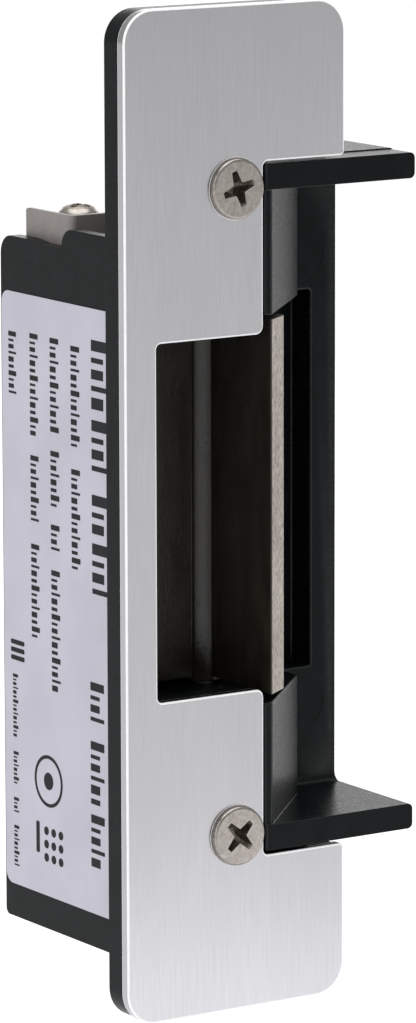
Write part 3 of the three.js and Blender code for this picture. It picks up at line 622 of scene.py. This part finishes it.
def cut(obj, tools):
    """Cuts the tools out of a solid."""
    for number, bm in enumerate(tools):
        tool = new_object(f"tool_{number}", bm)
        modifier = obj.modifiers.new("cut", "BOOLEAN")
        modifier.operation = "DIFFERENCE"
        modifier.solver = "EXACT"
        modifier.object = tool
        applied(obj)
        bpy.data.objects.remove(tool)
    return obj


MERGE = 0.002  # millimetres: closer vertices are one
FLAT = math.radians(1)  # faces that meet by less are one flat face
CURVE_SEAM = math.radians(25)  # facets of one curved face meet by less
ROUNDING_SHARES = (1, 0.6, 0.35, 0.2, 0.1)  # of the wanted width, where there is less room
STRAIGHT_ON = math.cos(math.radians(50))  # edges that turn by less run on in a line


def tidied(bm):
    bmesh.ops.remove_doubles(bm, verts=bm.verts, dist=MERGE * MM)
    flat = {"angle_limit": FLAT * 0.6, "delimit": set()}
    bmesh.ops.dissolve_limit(bm, verts=bm.verts, edges=bm.edges, **flat)
    bm.normal_update()


def boundary(face, seam):
    """A face's outline as arrays of starts and ends, without the sides that bend by less than seam."""
    sides = [e for e in face.edges if e.calc_face_angle(math.pi) > seam]
    starts = np.array([side.verts[0].co for side in sides])
    ends = np.array([side.verts[1].co for side in sides])
    return sides, starts, ends


def has_room(face, edge, width, boundaries, seam):
    """True if the face has width metres beside its edge, and as much again for the other side."""
    if face not in boundaries:
        boundaries[face] = boundary(face, seam)
    if not width:
        return True
    sides, starts, ends = boundaries[face]
    loop = next(each for each in face.loops if each.edge == edge)
    start, end = loop.vert.co, loop.link_loop_next.vert.co
    inward = face.normal.cross(end - start).normalized()
    probe = np.array((start + end) / 2 + inward * width)
    along = ends - starts
    share = ((probe - starts) * along).sum(1) / np.maximum((along * along).sum(1), 1e-18)
    nearest = starts + along * np.clip(share, 0, 1)[:, None]
    distance = np.sqrt(((probe - nearest) ** 2).sum(1))
    distance[[side == edge for side in sides]] = width
    return distance.min() > width * 0.9


def rounding_shares(bm, width, sharp, seam):
    """How much of the width each sharp edge gets: one share for all the edges that run on in a line."""
    boundaries = {}
    shares = {}
    for edge in bm.edges:
        if len(edge.link_faces) != 2 or edge.calc_face_angle() < sharp:
            continue
        for share in (*ROUNDING_SHARES, 0):
            wanted = width * share
            if all(has_room(face, edge, wanted, boundaries, seam) for face in edge.link_faces):
                break
        shares[edge] = share
    waiting = set(shares)
    while waiting:
        line = [waiting.pop()]
        for edge in line:
            for vertex in edge.verts:
                ahead = (edge.other_vert(vertex).co - vertex.co).normalized()
                for other in vertex.link_edges:
                    onwards = (vertex.co - other.other_vert(vertex).co).normalized()
                    if other in waiting and ahead.dot(onwards) > STRAIGHT_ON:
                        waiting.remove(other)
                        line.append(other)
        least = min(shares[edge] for edge in line)
        shares.update({edge: least for edge in line})
    return shares


INSIDE = 1  # delaunay_2d_cdt keeps only the triangles within the outline
FOLDED = 1.003  # triangles with more than this share of their face's area fold over it
NEAR = 1e-6  # millimetres within which delaunay_2d_cdt takes two points for one


def crossing(bm, sides, place):
    """One new vertex at the place where two sides of an outline cross."""
    found = []
    for side in [each for each in sides if each.is_valid]:
        first, last = side.verts
        along = last.co - first.co
        share = (place - first.co).dot(along) / max(along.length_squared, 1e-18)
        if 0 < share < 1 and (first.co + along * share - place).length < MERGE * MM:
            rest, vertex = bmesh.utils.edge_split(side, first, share)
            vertex.co = place
            sides.append(rest)
            found.append(vertex)
    if len(found) > 1:
        bmesh.ops.pointmerge(bm, verts=found, merge_co=place)
        found = [vertex for vertex in found if vertex.is_valid]
    return found[0] if found else bm.verts.new(place)


def refilled(obj):
    """Fills again, with triangles, each many-sided face that Blender would fold over its outline."""
    obj.data.calc_loop_triangles()
    filled = {}
    for triangle in obj.data.loop_triangles:
        filled[triangle.polygon_index] = filled.get(triangle.polygon_index, 0) + triangle.area
    bm = bmesh.new()
    bm.from_mesh(obj.data)
    bm.faces.ensure_lookup_table()
    wrong = [f for f in bm.faces if len(f.verts) > 4 and filled[f.index] > f.calc_area() * FOLDED]
    for face in wrong:
        corners = list(face.verts)
        start = corners[0].co.copy()
        upright = face.normal.to_track_quat("Z", "Y")
        flat = [(upright.inverted() @ (v.co - start)).to_2d() / MM for v in corners]
        ring = [list(range(len(corners)))]
        points, _, triangles, origins, _, _ = delaunay_2d_cdt(flat, [], ring, INSIDE, NEAR)
        material = face.material_index
        sides = list(face.edges)
        bm.faces.remove(face)
        filling = []
        for point, origin in zip(points, origins):
            if origin:
                filling.append(corners[origin[0]])
            else:
                filling.append(crossing(bm, sides, start + upright @ point.to_3d() * MM))
        for triangle in triangles:
            three = [filling[i] for i in triangle]
            if len(set(three)) == 3 and not bm.faces.get(three):
                bm.faces.new(three).material_index = material
    bm.normal_update()
    bm.to_mesh(obj.data)
    bm.free()
    return obj


def softened(obj, width, segments=3, sharp=38, rim=-1, seam=FLAT):
    """Rounds every edge sharper than sharp degrees, as far as its faces have room, and shades it.

    rim is the number of the material that the rounded edges take. Sides that bend by less than seam
    take no room.
    """
    bm = bmesh.new()
    bm.from_mesh(obj.data)
    tidied(bm)
    weights = bm.edges.layers.float.new("bevel_weight_edge")
    for edge, share in rounding_shares(bm, width * MM, math.radians(sharp), seam).items():
        edge[weights] = share
    bm.to_mesh(obj.data)
    bm.free()
    while len(obj.data.materials) <= rim:
        obj.data.materials.append(None)
    bevel = obj.modifiers.new("rounding", "BEVEL")
    bevel.width = width * MM
    bevel.segments = segments
    bevel.limit_method = "WEIGHT"
    bevel.offset_type = "OFFSET"
    bevel.use_clamp_overlap = False
    bevel.miter_outer = "MITER_ARC"
    bevel.material = rim
    return shaded(refilled(applied(obj)))


def shaded(obj, sharp=40):
    """Shades the flats flat and the curves round."""
    obj.data.shade_smooth()
    obj.data.set_sharp_from_angle(angle=math.radians(sharp))
    weighted = obj.modifiers.new("weighted", "WEIGHTED_NORMAL")
    weighted.keep_sharp = True
    weighted.weight = 80
    return applied(obj)


def refined(node, width, cuts=(), segments=3, sharp=38, rim=-1, more=()):
    """The piece for a CAD node that is the same solid with its edges rounded."""
    copy = bpy.data.objects.new(f"{node}_finished", frame["nodes"][node].data.copy())
    bpy.context.scene.collection.objects.link(copy)
    bm = bmesh.new()
    bm.from_mesh(copy.data)
    bmesh.ops.remove_doubles(bm, verts=bm.verts, dist=MERGE * MM)
    bm.to_mesh(copy.data)
    bm.free()
    cut(copy, cuts)
    return settle(softened(copy, width, segments, sharp, rim), node, more=more)


def turned(node, profile, axis, steps=64):
    """A turned piece on a CAD node's own axis, from (radius, w) stations."""
    low, high = drawn_box(node)
    middle = (low + high) / 2
    u, v = {"x": (middle.y, middle.z), "y": (middle.x, middle.z), "z": (middle.x, middle.y)}[axis]
    return new_object(f"{node}_turned", lathe(profile, axis, u, v, steps))


def pin(bottom, top, middle=()):
    """Profile stations of a pin; bottom and top are its chamfered ends as (radius, w, chamfer)."""
    wide, low, chamfer = bottom
    stations = [(0, low), (wide - chamfer, low), (wide, low + chamfer), *middle]
    wide, high, chamfer = top
    return stations + [(wide, high - chamfer), (wide - chamfer, high), (0, high)]


def threads(radius, start, end, pitch=0.7, depth=0.16):
    """Profile stations of a screw's threads from one depth to another."""
    count = int((end - start) / pitch)
    stations = []
    for turn in range(count):
        w = start + turn * pitch
        stations += [(radius, w), (radius, w + 0.12 * pitch), (radius - depth, w + 0.5 * pitch)]
    return stations


# ---- Faceplate ----
PLATE_CORNER = 4
PLATE_EDGE = 0.22  # the rounding of its rim, cutout and screw holes
CUTOUT = {"left": -11.4, "top": 21.8, "bottom": -22.1}
NOTCH = {"left": 4, "top": 42.8, "bottom": -43}
SCREW_HOLE = {"mouth": 3.73, "throat": 2.5}


def faceplate():
    side, thick, end = drawn_box("faceplate")[1]
    shape = outline(
        [
            (-side, -end, PLATE_CORNER), (side, -end, PLATE_CORNER),
            (side, NOTCH["bottom"], 0.5), (NOTCH["left"], NOTCH["bottom"], 0.7),
            (NOTCH["left"], CUTOUT["bottom"], 1), (CUTOUT["left"], CUTOUT["bottom"], 0.7),
            (CUTOUT["left"], CUTOUT["top"], 0.7), (NOTCH["left"], CUTOUT["top"], 1),
            (NOTCH["left"], NOTCH["top"], 0.7), (side, NOTCH["top"], 0.5),
            (side, end, PLATE_CORNER), (-side, end, PLATE_CORNER),
        ]
    )
    plate = new_object("faceplate_sheet", prism(shape, "y", 0, thick))
    holes = []
    slope = (SCREW_HOLE["mouth"] - SCREW_HOLE["throat"]) / thick
    for node in ("faceplate_screw_upper", "faceplate_screw_lower"):
        hole_low, hole_high = drawn_box(node)
        z = (hole_low.z + hole_high.z) / 2
        mouth = SCREW_HOLE["mouth"] + slope
        throat = SCREW_HOLE["throat"] - slope
        holes.append(lathe([(0, -1), (mouth, -1), (throat, thick + 1), (0, thick + 1)], "y", 0, z))
    cut(plate, holes)
    # the rounded edges take the painted highlight
    softened(plate, PLATE_EDGE, segments=4, rim=1, seam=CURVE_SEAM)
    settle(plate, "faceplate", more=[EDGE_HIGHLIGHT_PAINT])


# ---- Screws, all drawn by one function ----
def cross(length, root, tip, fillet, turn, steps=4):
    """A cross-shaped recess outline with rounded inner corners."""
    corners = []
    for wing in range(4):
        angle = turn + wing * math.pi / 2
        c, s = math.cos(angle), math.sin(angle)
        for u, v, radius in ((length, -tip, 0.1), (length, tip, 0.1), (root, root, fillet)):
            corners.append((u * c - v * s, u * s + v * c, radius))
    return outline(corners, steps)


RECESS_RINGS = ((-0.6, 1.1), (0, 1), (0.4, 0.86), (0.75, 0.66), (1, 0.42))  # depth and size shares


def screw(node, axis, facing, profile, recess, turn):
    """A screw turned from (radius, depth) stations, its depth counted from the head's face inwards.

    recess is (length, root, tip, depth) of the cross. facing is the sign of the head's direction.
    """
    low, high = drawn_box(node)
    along = "xyz".index(axis)
    face = (high if facing > 0 else low)[along]
    u, v = [(low[i] + high[i]) / 2 for i in range(3) if i != along]
    body = turned(node, [(radius, face - facing * depth) for radius, depth in profile], axis)
    length, root, tip, deep = recess
    rings = []
    for share, scale in RECESS_RINGS:
        narrow = 0.4 + 0.6 * scale
        ring = cross(length * scale, root * narrow, tip * narrow, 0.3 * root, turn)
        rings.append(([(u + p[0], v + p[1]) for p in ring], face - facing * share * deep))
    cut(body, [loft(rings, axis)])
    softened(body, 0.07, segments=2, sharp=30)
    settle(body, node, more=[SCREW_SHADE])
    reach = (length + 0.15) * MM
    floor = at(*[face - facing * 0.1 if i == along else (u, v)[i - (i > along)] for i in range(3)])
    # the faces inside the recess take the painted shade
    for polygon in body.data.polygons:
        inwards = (floor - polygon.center)[along] * facing
        aside = (floor - polygon.center).copy()
        aside[along] = 0
        if 0 < inwards < deep * MM and aside.length < reach:
            polygon.material_index = 1


def faceplate_screws():
    head = [(0, 0), (3.3, 0), (3.45, 0.02), (3.57, 0.08), (3.66, 0.19), (3.7, 0.34), (3.7, 0.7)]
    shank = [(3.6, 0.92), (1.95, 2.6), *threads(1.95, 2.8, 12), (1.2, 12.8), (0, 12.8)]
    recess = (2.25, 0.62, 0.37, 2.2)
    screw("faceplate_screw_upper", "y", -1, head + shank, recess, math.radians(18))
    screw("faceplate_screw_lower", "y", -1, head + shank, recess, math.radians(45))


def countersunk(head, shank, length):
    """Profile stations of a small flat-headed screw."""
    cone = [(0, 0), (head - 0.12, 0), (head - 0.03, 0.04), (head, 0.15), (shank, 1.25)]
    return cone + threads(shank, 1.4, length - 0.5, 0.45, 0.12) + [(shank * 0.6, length), (0, length)]


def case_screws():
    recess = (1.45, 0.46, 0.3, 1.1)
    for number in range(1, 5):
        turn = math.radians(25 + 40 * number)
        screw(f"cover_screw_{number}", "y", 1, countersunk(2.4, 1.15, 5.5), recess, turn)
    for number in (1, 2):
        node = f"solenoid_screw_{number}"
        screw(node, "z", -1, countersunk(2.6, 1.2, 4), recess, math.radians(30 * number))
    screw("case_screw_lower", "z", -1, countersunk(2.6, 1.2, 6.5), recess, math.radians(12))
    pan = [(0, 0), (1.1, 0.02), (1.7, 0.14), (2.15, 0.45), (2.4, 0.95), (2.4, 1.42), (2.33, 1.5)]
    shank = [(1.2, 1.5), *threads(1.2, 1.7, 6, 0.45, 0.12), (0.72, 6.5), (0, 6.5)]
    screw("case_screw_upper", "z", 1, pan + shank, recess, math.radians(33))


def terminal_screws():
    dome = [(0, 0), (0.8, 0.04), (1.45, 0.18), (2, 0.46), (2.4, 0.88), (2.7, 1.45), (2.87, 2.1)]
    rim = [(2.9, 2.85), (2.82, 3)]
    shank = [(1.4, 3), *threads(1.4, 3.3, 6.8, 0.5, 0.14), (0.84, 7.4), (0, 7.4)]
    recess = (1.7, 0.5, 0.36, 1.5)
    for number, degrees in ((1, 28), (2, 75)):
        node = f"terminal_screw_{number}"
        screw(node, "z", 1, dome + rim + shank, recess, math.radians(degrees))


# ---- Strike frame, keeper, its pin and its spring ----
LIP_WALL_FRONT = 16.2
EJECTOR_MARKS = {"x": 20.4, "z": (28.5, -28.5), "radius": 3.3, "groove": 0.14, "deep": 0.07}
PIVOT = (5.6, 16.6)
SPRING_LEG = 1.2


def ring_groove(z):
    inner = EJECTOR_MARKS["radius"]
    outer = inner + EJECTOR_MARKS["groove"]
    front, back = LIP_WALL_FRONT - 1, LIP_WALL_FRONT + EJECTOR_MARKS["deep"]
    profile = [(inner, front), (outer, front), (outer, back), (inner, back), (inner, front)]
    return lathe(profile, "y", EJECTOR_MARKS["x"], z, steps=72)


def strike_frame():
    marks = [ring_groove(z) for z in EJECTOR_MARKS["z"]]
    refined("strike_frame", 0.3, cuts=marks, rim=1, more=[PAINTED_EDGE])


def keeper():
    refined("keeper", 0.28)


def pivot_pin():
    low, high = drawn_box("keeper_pivot_pin")
    radius, bottom, top = 1.6, low.z, high.z
    grooves = [(radius, 24.6), (radius - 0.12, 24.7), (radius - 0.12, 24.9), (radius, 25)]
    ends = ((radius - 0.3, 0), (radius - 0.06, 0.14), (radius, 0.4))
    profile = [(0, bottom), *[(r, bottom + w) for r, w in ends], *grooves]
    profile += [*[(r, top - w) for r, w in ends[::-1]], (0, top)]
    settle(shaded(turned("keeper_pivot_pin", profile, "z")), "keeper_pivot_pin")


def keeper_spring():
    x, y = PIVOT
    radius, low, high = 2.4, 25.2, 29.1
    leg = x + radius
    path = [(leg, y - SPRING_LEG, 22), (leg, y - SPRING_LEG, 23.7), (leg, y - SPRING_LEG / 2, low - 0.3)]
    path = smooth_path([*path, (leg, y, low)], 6)[:-1]
    path += helix(x, y, radius, low, high, 4)
    path += [(leg, y + 1, high), (leg, y + 2.5, high), (leg, y + 4.6, high)]
    wire = new_object("keeper_spring_wire", sweep(path, 0.4, 14))
    bend = ("strike_body", "keeper", at(x, y, high - 0.2), at(x, y, low - 0.6))
    settle(shaded(wire), "keeper_spring", bend=bend)


# ---- Case, label and terminal block ----
LABEL_SKIN = 0.02  # how far the print stands off the film


def case():
    refined("case_shell", 0.55, segments=4)
    refined("rear_cover", 0.25)


def label():
    low, high = drawn_box("side_label")
    shape = outline([(low.y, low.z), (high.y, low.z, 1.5), (high.y, high.z, 1.5), (low.y, high.z)])
    film = new_object("side_label_film", prism(shape, "x", low.x, high.x))
    settle(softened(film, 0.05, segments=2), "side_label")


# Each line of the print: its front and back edges, and the groups of strokes as (start, end) heights.
PRINT_LINES = (
    (6.3, 10.3, ((21.4, 12.6), (11.6, 3.4), (2.4, -2.6), (-3.6, -10.8))),
    (7.8, 10.9, ((-20.9, -27.2), (-28.3, -36.4), (-37.5, -44.6))),
    (13, 15, ((20.1, 6.9), (4.9, -7.8))),
    (17.8, 19.8, ((20.5, 8.4), (6.5, -0.8), (-2.7, -6.5), (-8.4, -23.7))),
    (22.6, 24.5, ((20.5, 7.2), (5.3, -3.9), (-5.8, -17.7))),
    (27.7, 29.5, ((20.2, 12.4),)),
    (27.9, 29.1, ((-23, -31.2), (-32.9, -37.5), (-38.8, -41), (-42.4, -47.8))),
)
STROKES = ((0.34, 1), (0.16, 0.68), (0.3, 0.68), (0.16, 1), (0.36, 0.68), (0.22, 0.68))
STROKE_GAP = 0.2  # strokes and gaps are shares of the line's height
UNDERLINE = (23, 23.8, -44.8, -40.8)
DOTS = {"y": 19.7, "z": -43.4, "pitch": 1.7, "radius": 0.55}
ROUND_MARK = {"y": 20.8, "z": -35.3, "outer": 3.3, "inner": 2.85, "dot": 1.1}
BLOCK_MARK = {"front": 26.3, "back": 29.5, "top": -18.2, "bottom": -21.2, "bars": 3}


def strokes(front, back, start, end):
    """A group of upright strokes in a repeating rhythm, standing on the line's back edge."""
    height = back - front
    place = start
    for number in range(1000):
        width, tall = STROKES[number % len(STROKES)]
        if place - width * height < end:
            return
        yield rectangle(back - tall * height, back, place - width * height, place, 0.08, 2)
        place -= (width + STROKE_GAP) * height


def printed_shapes():
    for front, back, groups in PRINT_LINES:
        for start, end in groups:
            yield from strokes(front, back, start, end)
    yield rectangle(*UNDERLINE, 0.2, 3)
    step = (BLOCK_MARK["top"] - BLOCK_MARK["bottom"]) / BLOCK_MARK["bars"]
    for bar in range(BLOCK_MARK["bars"]):
        low = BLOCK_MARK["bottom"] + bar * step
        yield rectangle(BLOCK_MARK["front"], BLOCK_MARK["back"], low, low + step * 0.6, 0.2, 3)
    yield circle(ROUND_MARK["y"], ROUND_MARK["z"], ROUND_MARK["dot"], 32)
    for row in (-1, 0, 1):
        for column in (-1, 0, 1):
            y = DOTS["y"] + row * DOTS["pitch"]
            yield circle(y, DOTS["z"] + column * DOTS["pitch"], DOTS["radius"], 20)


def label_print():
    """Plain strokes, a ring, bars and dots in the places of a printed label's lines and marks."""
    film = drawn_box("side_label")[0].x
    low, high = film - LABEL_SKIN, film + LABEL_SKIN
    shapes = [prism(points, "x", low, high) for points in printed_shapes()]
    outer, inner = ROUND_MARK["outer"], ROUND_MARK["inner"]
    ring = [(inner, low), (outer, low), (outer, high), (inner, high), (inner, low)]
    shapes.append(lathe(ring, "x", ROUND_MARK["y"], ROUND_MARK["z"]))
    everything = bmesh.new()
    for shape in shapes:
        piece = bpy.data.meshes.new("mark")
        shape.to_mesh(piece)
        shape.free()
        everything.from_mesh(piece)
        bpy.data.meshes.remove(piece)
    settle(new_object("label_print", everything), "side_label", material=INK, hides=False)


def terminals():
    refined("terminal_block", 0.3)
    refined("terminal_clamp_1", 0.15)
    refined("terminal_clamp_2", 0.15)


# ---- Lock lever and its fittings ----
def lever_fittings():
    refined("lock_lever", 0.25)
    low, high = drawn_box("lock_lever_pin")
    wall, groove, narrow, radius = 16.85, (24, 24.8), 1.1, 1.5
    profile = [
        (0, low.y), (1, low.y), (1.2, low.y + 0.2), (1.2, wall), (radius, wall), (radius, groove[0]),
        (narrow, groove[0]), (narrow, groove[1]), (radius, groove[1]), (radius, high.y - 0.2),
        (radius - 0.2, high.y), (0, high.y),
    ]
    settle(shaded(turned("lock_lever_pin", profile, "y")), "lock_lever_pin")

    low, high = drawn_box("lock_lever_spacer")
    outer, inner, chamfer = 2.5, 1.58, 0.15
    profile = [
        (inner, low.y), (outer - chamfer, low.y), (outer, low.y + chamfer), (outer, high.y - chamfer),
        (outer - chamfer, high.y), (inner, high.y), (inner, low.y),
    ]
    settle(shaded(turned("lock_lever_spacer", profile, "y")), "lock_lever_spacer")
    refined("lock_lever_clip", 0.08, sharp=50)


# ---- Solenoid ----
PLUNGER = {"x": -2.5, "y": 22.1, "radius": 3.7, "collar": (5, -19.7, -18.5)}
LEVER_SLOT = (20.3, 23.9)  # front and back of the plunger's fork
LINK_PIN = {"z": -14.4, "radius": 1}
COIL = {"bottom": -48.9, "top": -28.9, "cheek": 1, "tube": 4.8, "bore": 3.9, "winding": 6.9, "rim": 7.1}
LEAD = {"x": (-5, 0), "y": 28.1, "lanes": (-6.4, 4.6), "entries": (-6.4, -1.3), "notch": 0.9}
WIRE = 0.42  # the enamelled wire's diameter


def lead_notches():
    return [lathe([(0, -31), (LEAD["notch"], -31), (LEAD["notch"], -27), (0, -27)], "z", x, LEAD["y"], 24)
            for x in LEAD["x"]]


def bobbin_and_winding():
    bottom, top, cheek = COIL["bottom"], COIL["top"], COIL["cheek"]
    rim, tube, bore = COIL["rim"], COIL["tube"], COIL["bore"]
    profile = [
        (bore, bottom + 0.1), (bore + 0.1, bottom), (rim - 0.2, bottom), (rim, bottom + 0.2),
        (rim, bottom + cheek - 0.2), (rim - 0.2, bottom + cheek), (tube, bottom + cheek),
        (tube, top - cheek), (rim - 0.2, top - cheek), (rim, top - cheek + 0.2), (rim, top - 0.2),
        (rim - 0.2, top), (bore + 0.1, top), (bore, top - 0.1), (bore, bottom + 0.1),
    ]
    bobbin = turned("coil_bobbin", profile, "z", 96)
    cut(bobbin, lead_notches())
    settle(softened(bobbin, 0.06, segments=2, sharp=50), "coil_bobbin")

    low, high = drawn_box("coil_winding")
    outer, inner = COIL["winding"], tube + 0.1
    count = int((high.z - low.z) / WIRE)
    profile = [(inner, low.z)]
    for turn in range(count):
        z = low.z + (turn + 0.5) * (high.z - low.z) / count
        for degrees in (-80, -45, 0, 45, 80):
            angle = math.radians(degrees)
            profile.append((outer - WIRE / 2 * (1 - math.cos(angle)), z + WIRE / 2 * math.sin(angle)))
    profile += [(inner, high.z), (inner, low.z)]
    settle(shaded(turned("coil_winding", profile, "z", 72), 70), "coil_winding")


def plunger_and_pole():
    low, high = drawn_box("plunger")
    x, radius = PLUNGER["x"], PLUNGER["radius"]
    wide, under, over = PLUNGER["collar"]
    collar = [
        (radius, under), (wide - 0.1, under), (wide, under + 0.1), (wide, over - 0.1),
        (wide - 0.1, over), (radius, over),
    ]
    profile = pin((radius, low.z, 0.25), (radius, high.z, 0.35), collar)
    body = turned("plunger", profile, "z", 72)
    fork = box(-10, 5, LEVER_SLOT[0], LEVER_SLOT[1], LINK_PIN["z"] - 3.7, 0)
    hole_radius = LINK_PIN["radius"] + 0.05
    hole = lathe([(0, 15), (hole_radius, 15), (hole_radius, 30), (0, 30)], "y", x, LINK_PIN["z"], 40)
    cut(body, [fork, hole])
    settle(softened(body, 0.12, segments=2, sharp=50), "plunger")

    low, high = drawn_box("plunger_link_pin")
    radius = LINK_PIN["radius"]
    profile = pin((radius, low.y, 0.15), (radius, high.y, 0.15))
    settle(shaded(turned("plunger_link_pin", profile, "y", 40)), "plunger_link_pin")

    low, high = drawn_box("pole_piece")
    foot, shoulder, radius = 2.4, -50.6, 3.7
    step = [(foot, shoulder), (radius - 0.1, shoulder), (radius, shoulder + 0.1)]
    profile = pin((foot, low.z, 0.15), (radius, high.z, 0.25), step)
    settle(shaded(turned("pole_piece", profile, "z")), "pole_piece")


def solenoid():
    refined("solenoid_yoke", 0.3)
    refined("solenoid_top_plate", 0.2)
    bobbin_and_winding()
    plunger_and_pole()
    x, y, low, high = PLUNGER["x"], PLUNGER["y"], -26.5, -20.2
    coil = new_object("plunger_spring_wire", sweep(helix(x, y, 4.4, low, high, 5), 0.35, 14))
    bend = ("strike_body", "plunger", at(x, y, low), at(x, y, high))
    settle(shaded(coil), "plunger_spring", bend=bend)
    for i, (x, lane, entry) in enumerate(zip(LEAD["x"], LEAD["lanes"], LEAD["entries"])):
        stops = [
            (x, LEAD["y"], -30.1), (x, LEAD["y"], -27), (lane, 27.6, -22), (lane, 27.6, -5),
            (lane, 27.6, 14), (entry, 26.6, 23.5), (entry, 26.6, 27), (entry, 26.6, 32),
        ]
        sleeve = new_object(f"coil_lead_{i + 1}_sleeve", sweep(smooth_path(stops, 8), 0.6, 16))
        settle(shaded(sleeve), f"coil_lead_{i + 1}")


# ---- Stage: pale floor, soft studio light ----
FLOOR_RADIUS = 3.0
FLOOR_DROP = 0.12  # the part hangs clear of the floor, so that no shadow meets it


def stage():
    bm = bmesh.new()
    bmesh.ops.create_circle(bm, cap_ends=True, radius=FLOOR_RADIUS, segments=96)
    mesh = bpy.data.meshes.new("studio_floor")
    bm.to_mesh(mesh)
    bm.free()
    floor = bpy.data.objects.new("studio_floor", mesh)
    floor.location = (0, 0, cad_bounds[0].z - FLOOR_DROP)
    bpy.context.scene.collection.objects.link(floor)
    floor.data.materials.append(Finish("studio_paper", (0.86, 0.86, 0.87), 0.8, 0.0).material)

    world = bpy.data.worlds.new("studio")
    bpy.context.scene.world = world
    world.use_nodes = True
    background = world.node_tree.nodes["Background"]
    background.inputs["Color"].default_value = (1, 1, 1, 1)
    background.inputs["Strength"].default_value = 0.5


def area_light(name, offset, size, power, target=(0, 0, 0)):
    """A soft rectangular light, placed and aimed in metres from the part's middle."""
    middle = (cad_bounds[0] + cad_bounds[1]) / 2
    data = bpy.data.lights.new(name, "AREA")
    data.shape = "RECTANGLE"
    data.size, data.size_y = size
    data.energy = power
    light = bpy.data.objects.new(name, data)
    light.location = middle + Vector(offset)
    light.rotation_mode = "QUATERNION"
    light.rotation_quaternion = (Vector(target) - Vector(offset)).to_track_quat("-Z", "Y")
    light.visible_camera = False
    bpy.context.scene.collection.objects.link(light)
    return data


def lights():
    sun = bpy.data.lights.new("overhead", "SUN")
    sun.energy = 2.3
    sun.angle = math.radians(70)
    overhead = bpy.data.objects.new("overhead", sun)
    bpy.context.scene.collection.objects.link(overhead)
    area_light("key_left", (-0.85, -0.35, 0.3), (0.8, 0.8), 1.5)
    low_front = area_light("low_front", (0.165, -0.25, -0.165), (0.25, 0.08), 0.055)
    low_front.color = (0.96, 0.95, 1)
    area_light("rear_glow", (0.75, 0.95, 0.3), (1.4, 0.6), 3.2)


faceplate()
faceplate_screws()
strike_frame()
keeper()
pivot_pin()
keeper_spring()
case()
case_screws()
label()
label_print()
terminals()
terminal_screws()
lever_fittings()
solenoid()
stage()
lights()
bpy.context.scene.view_settings.view_transform = "Standard"
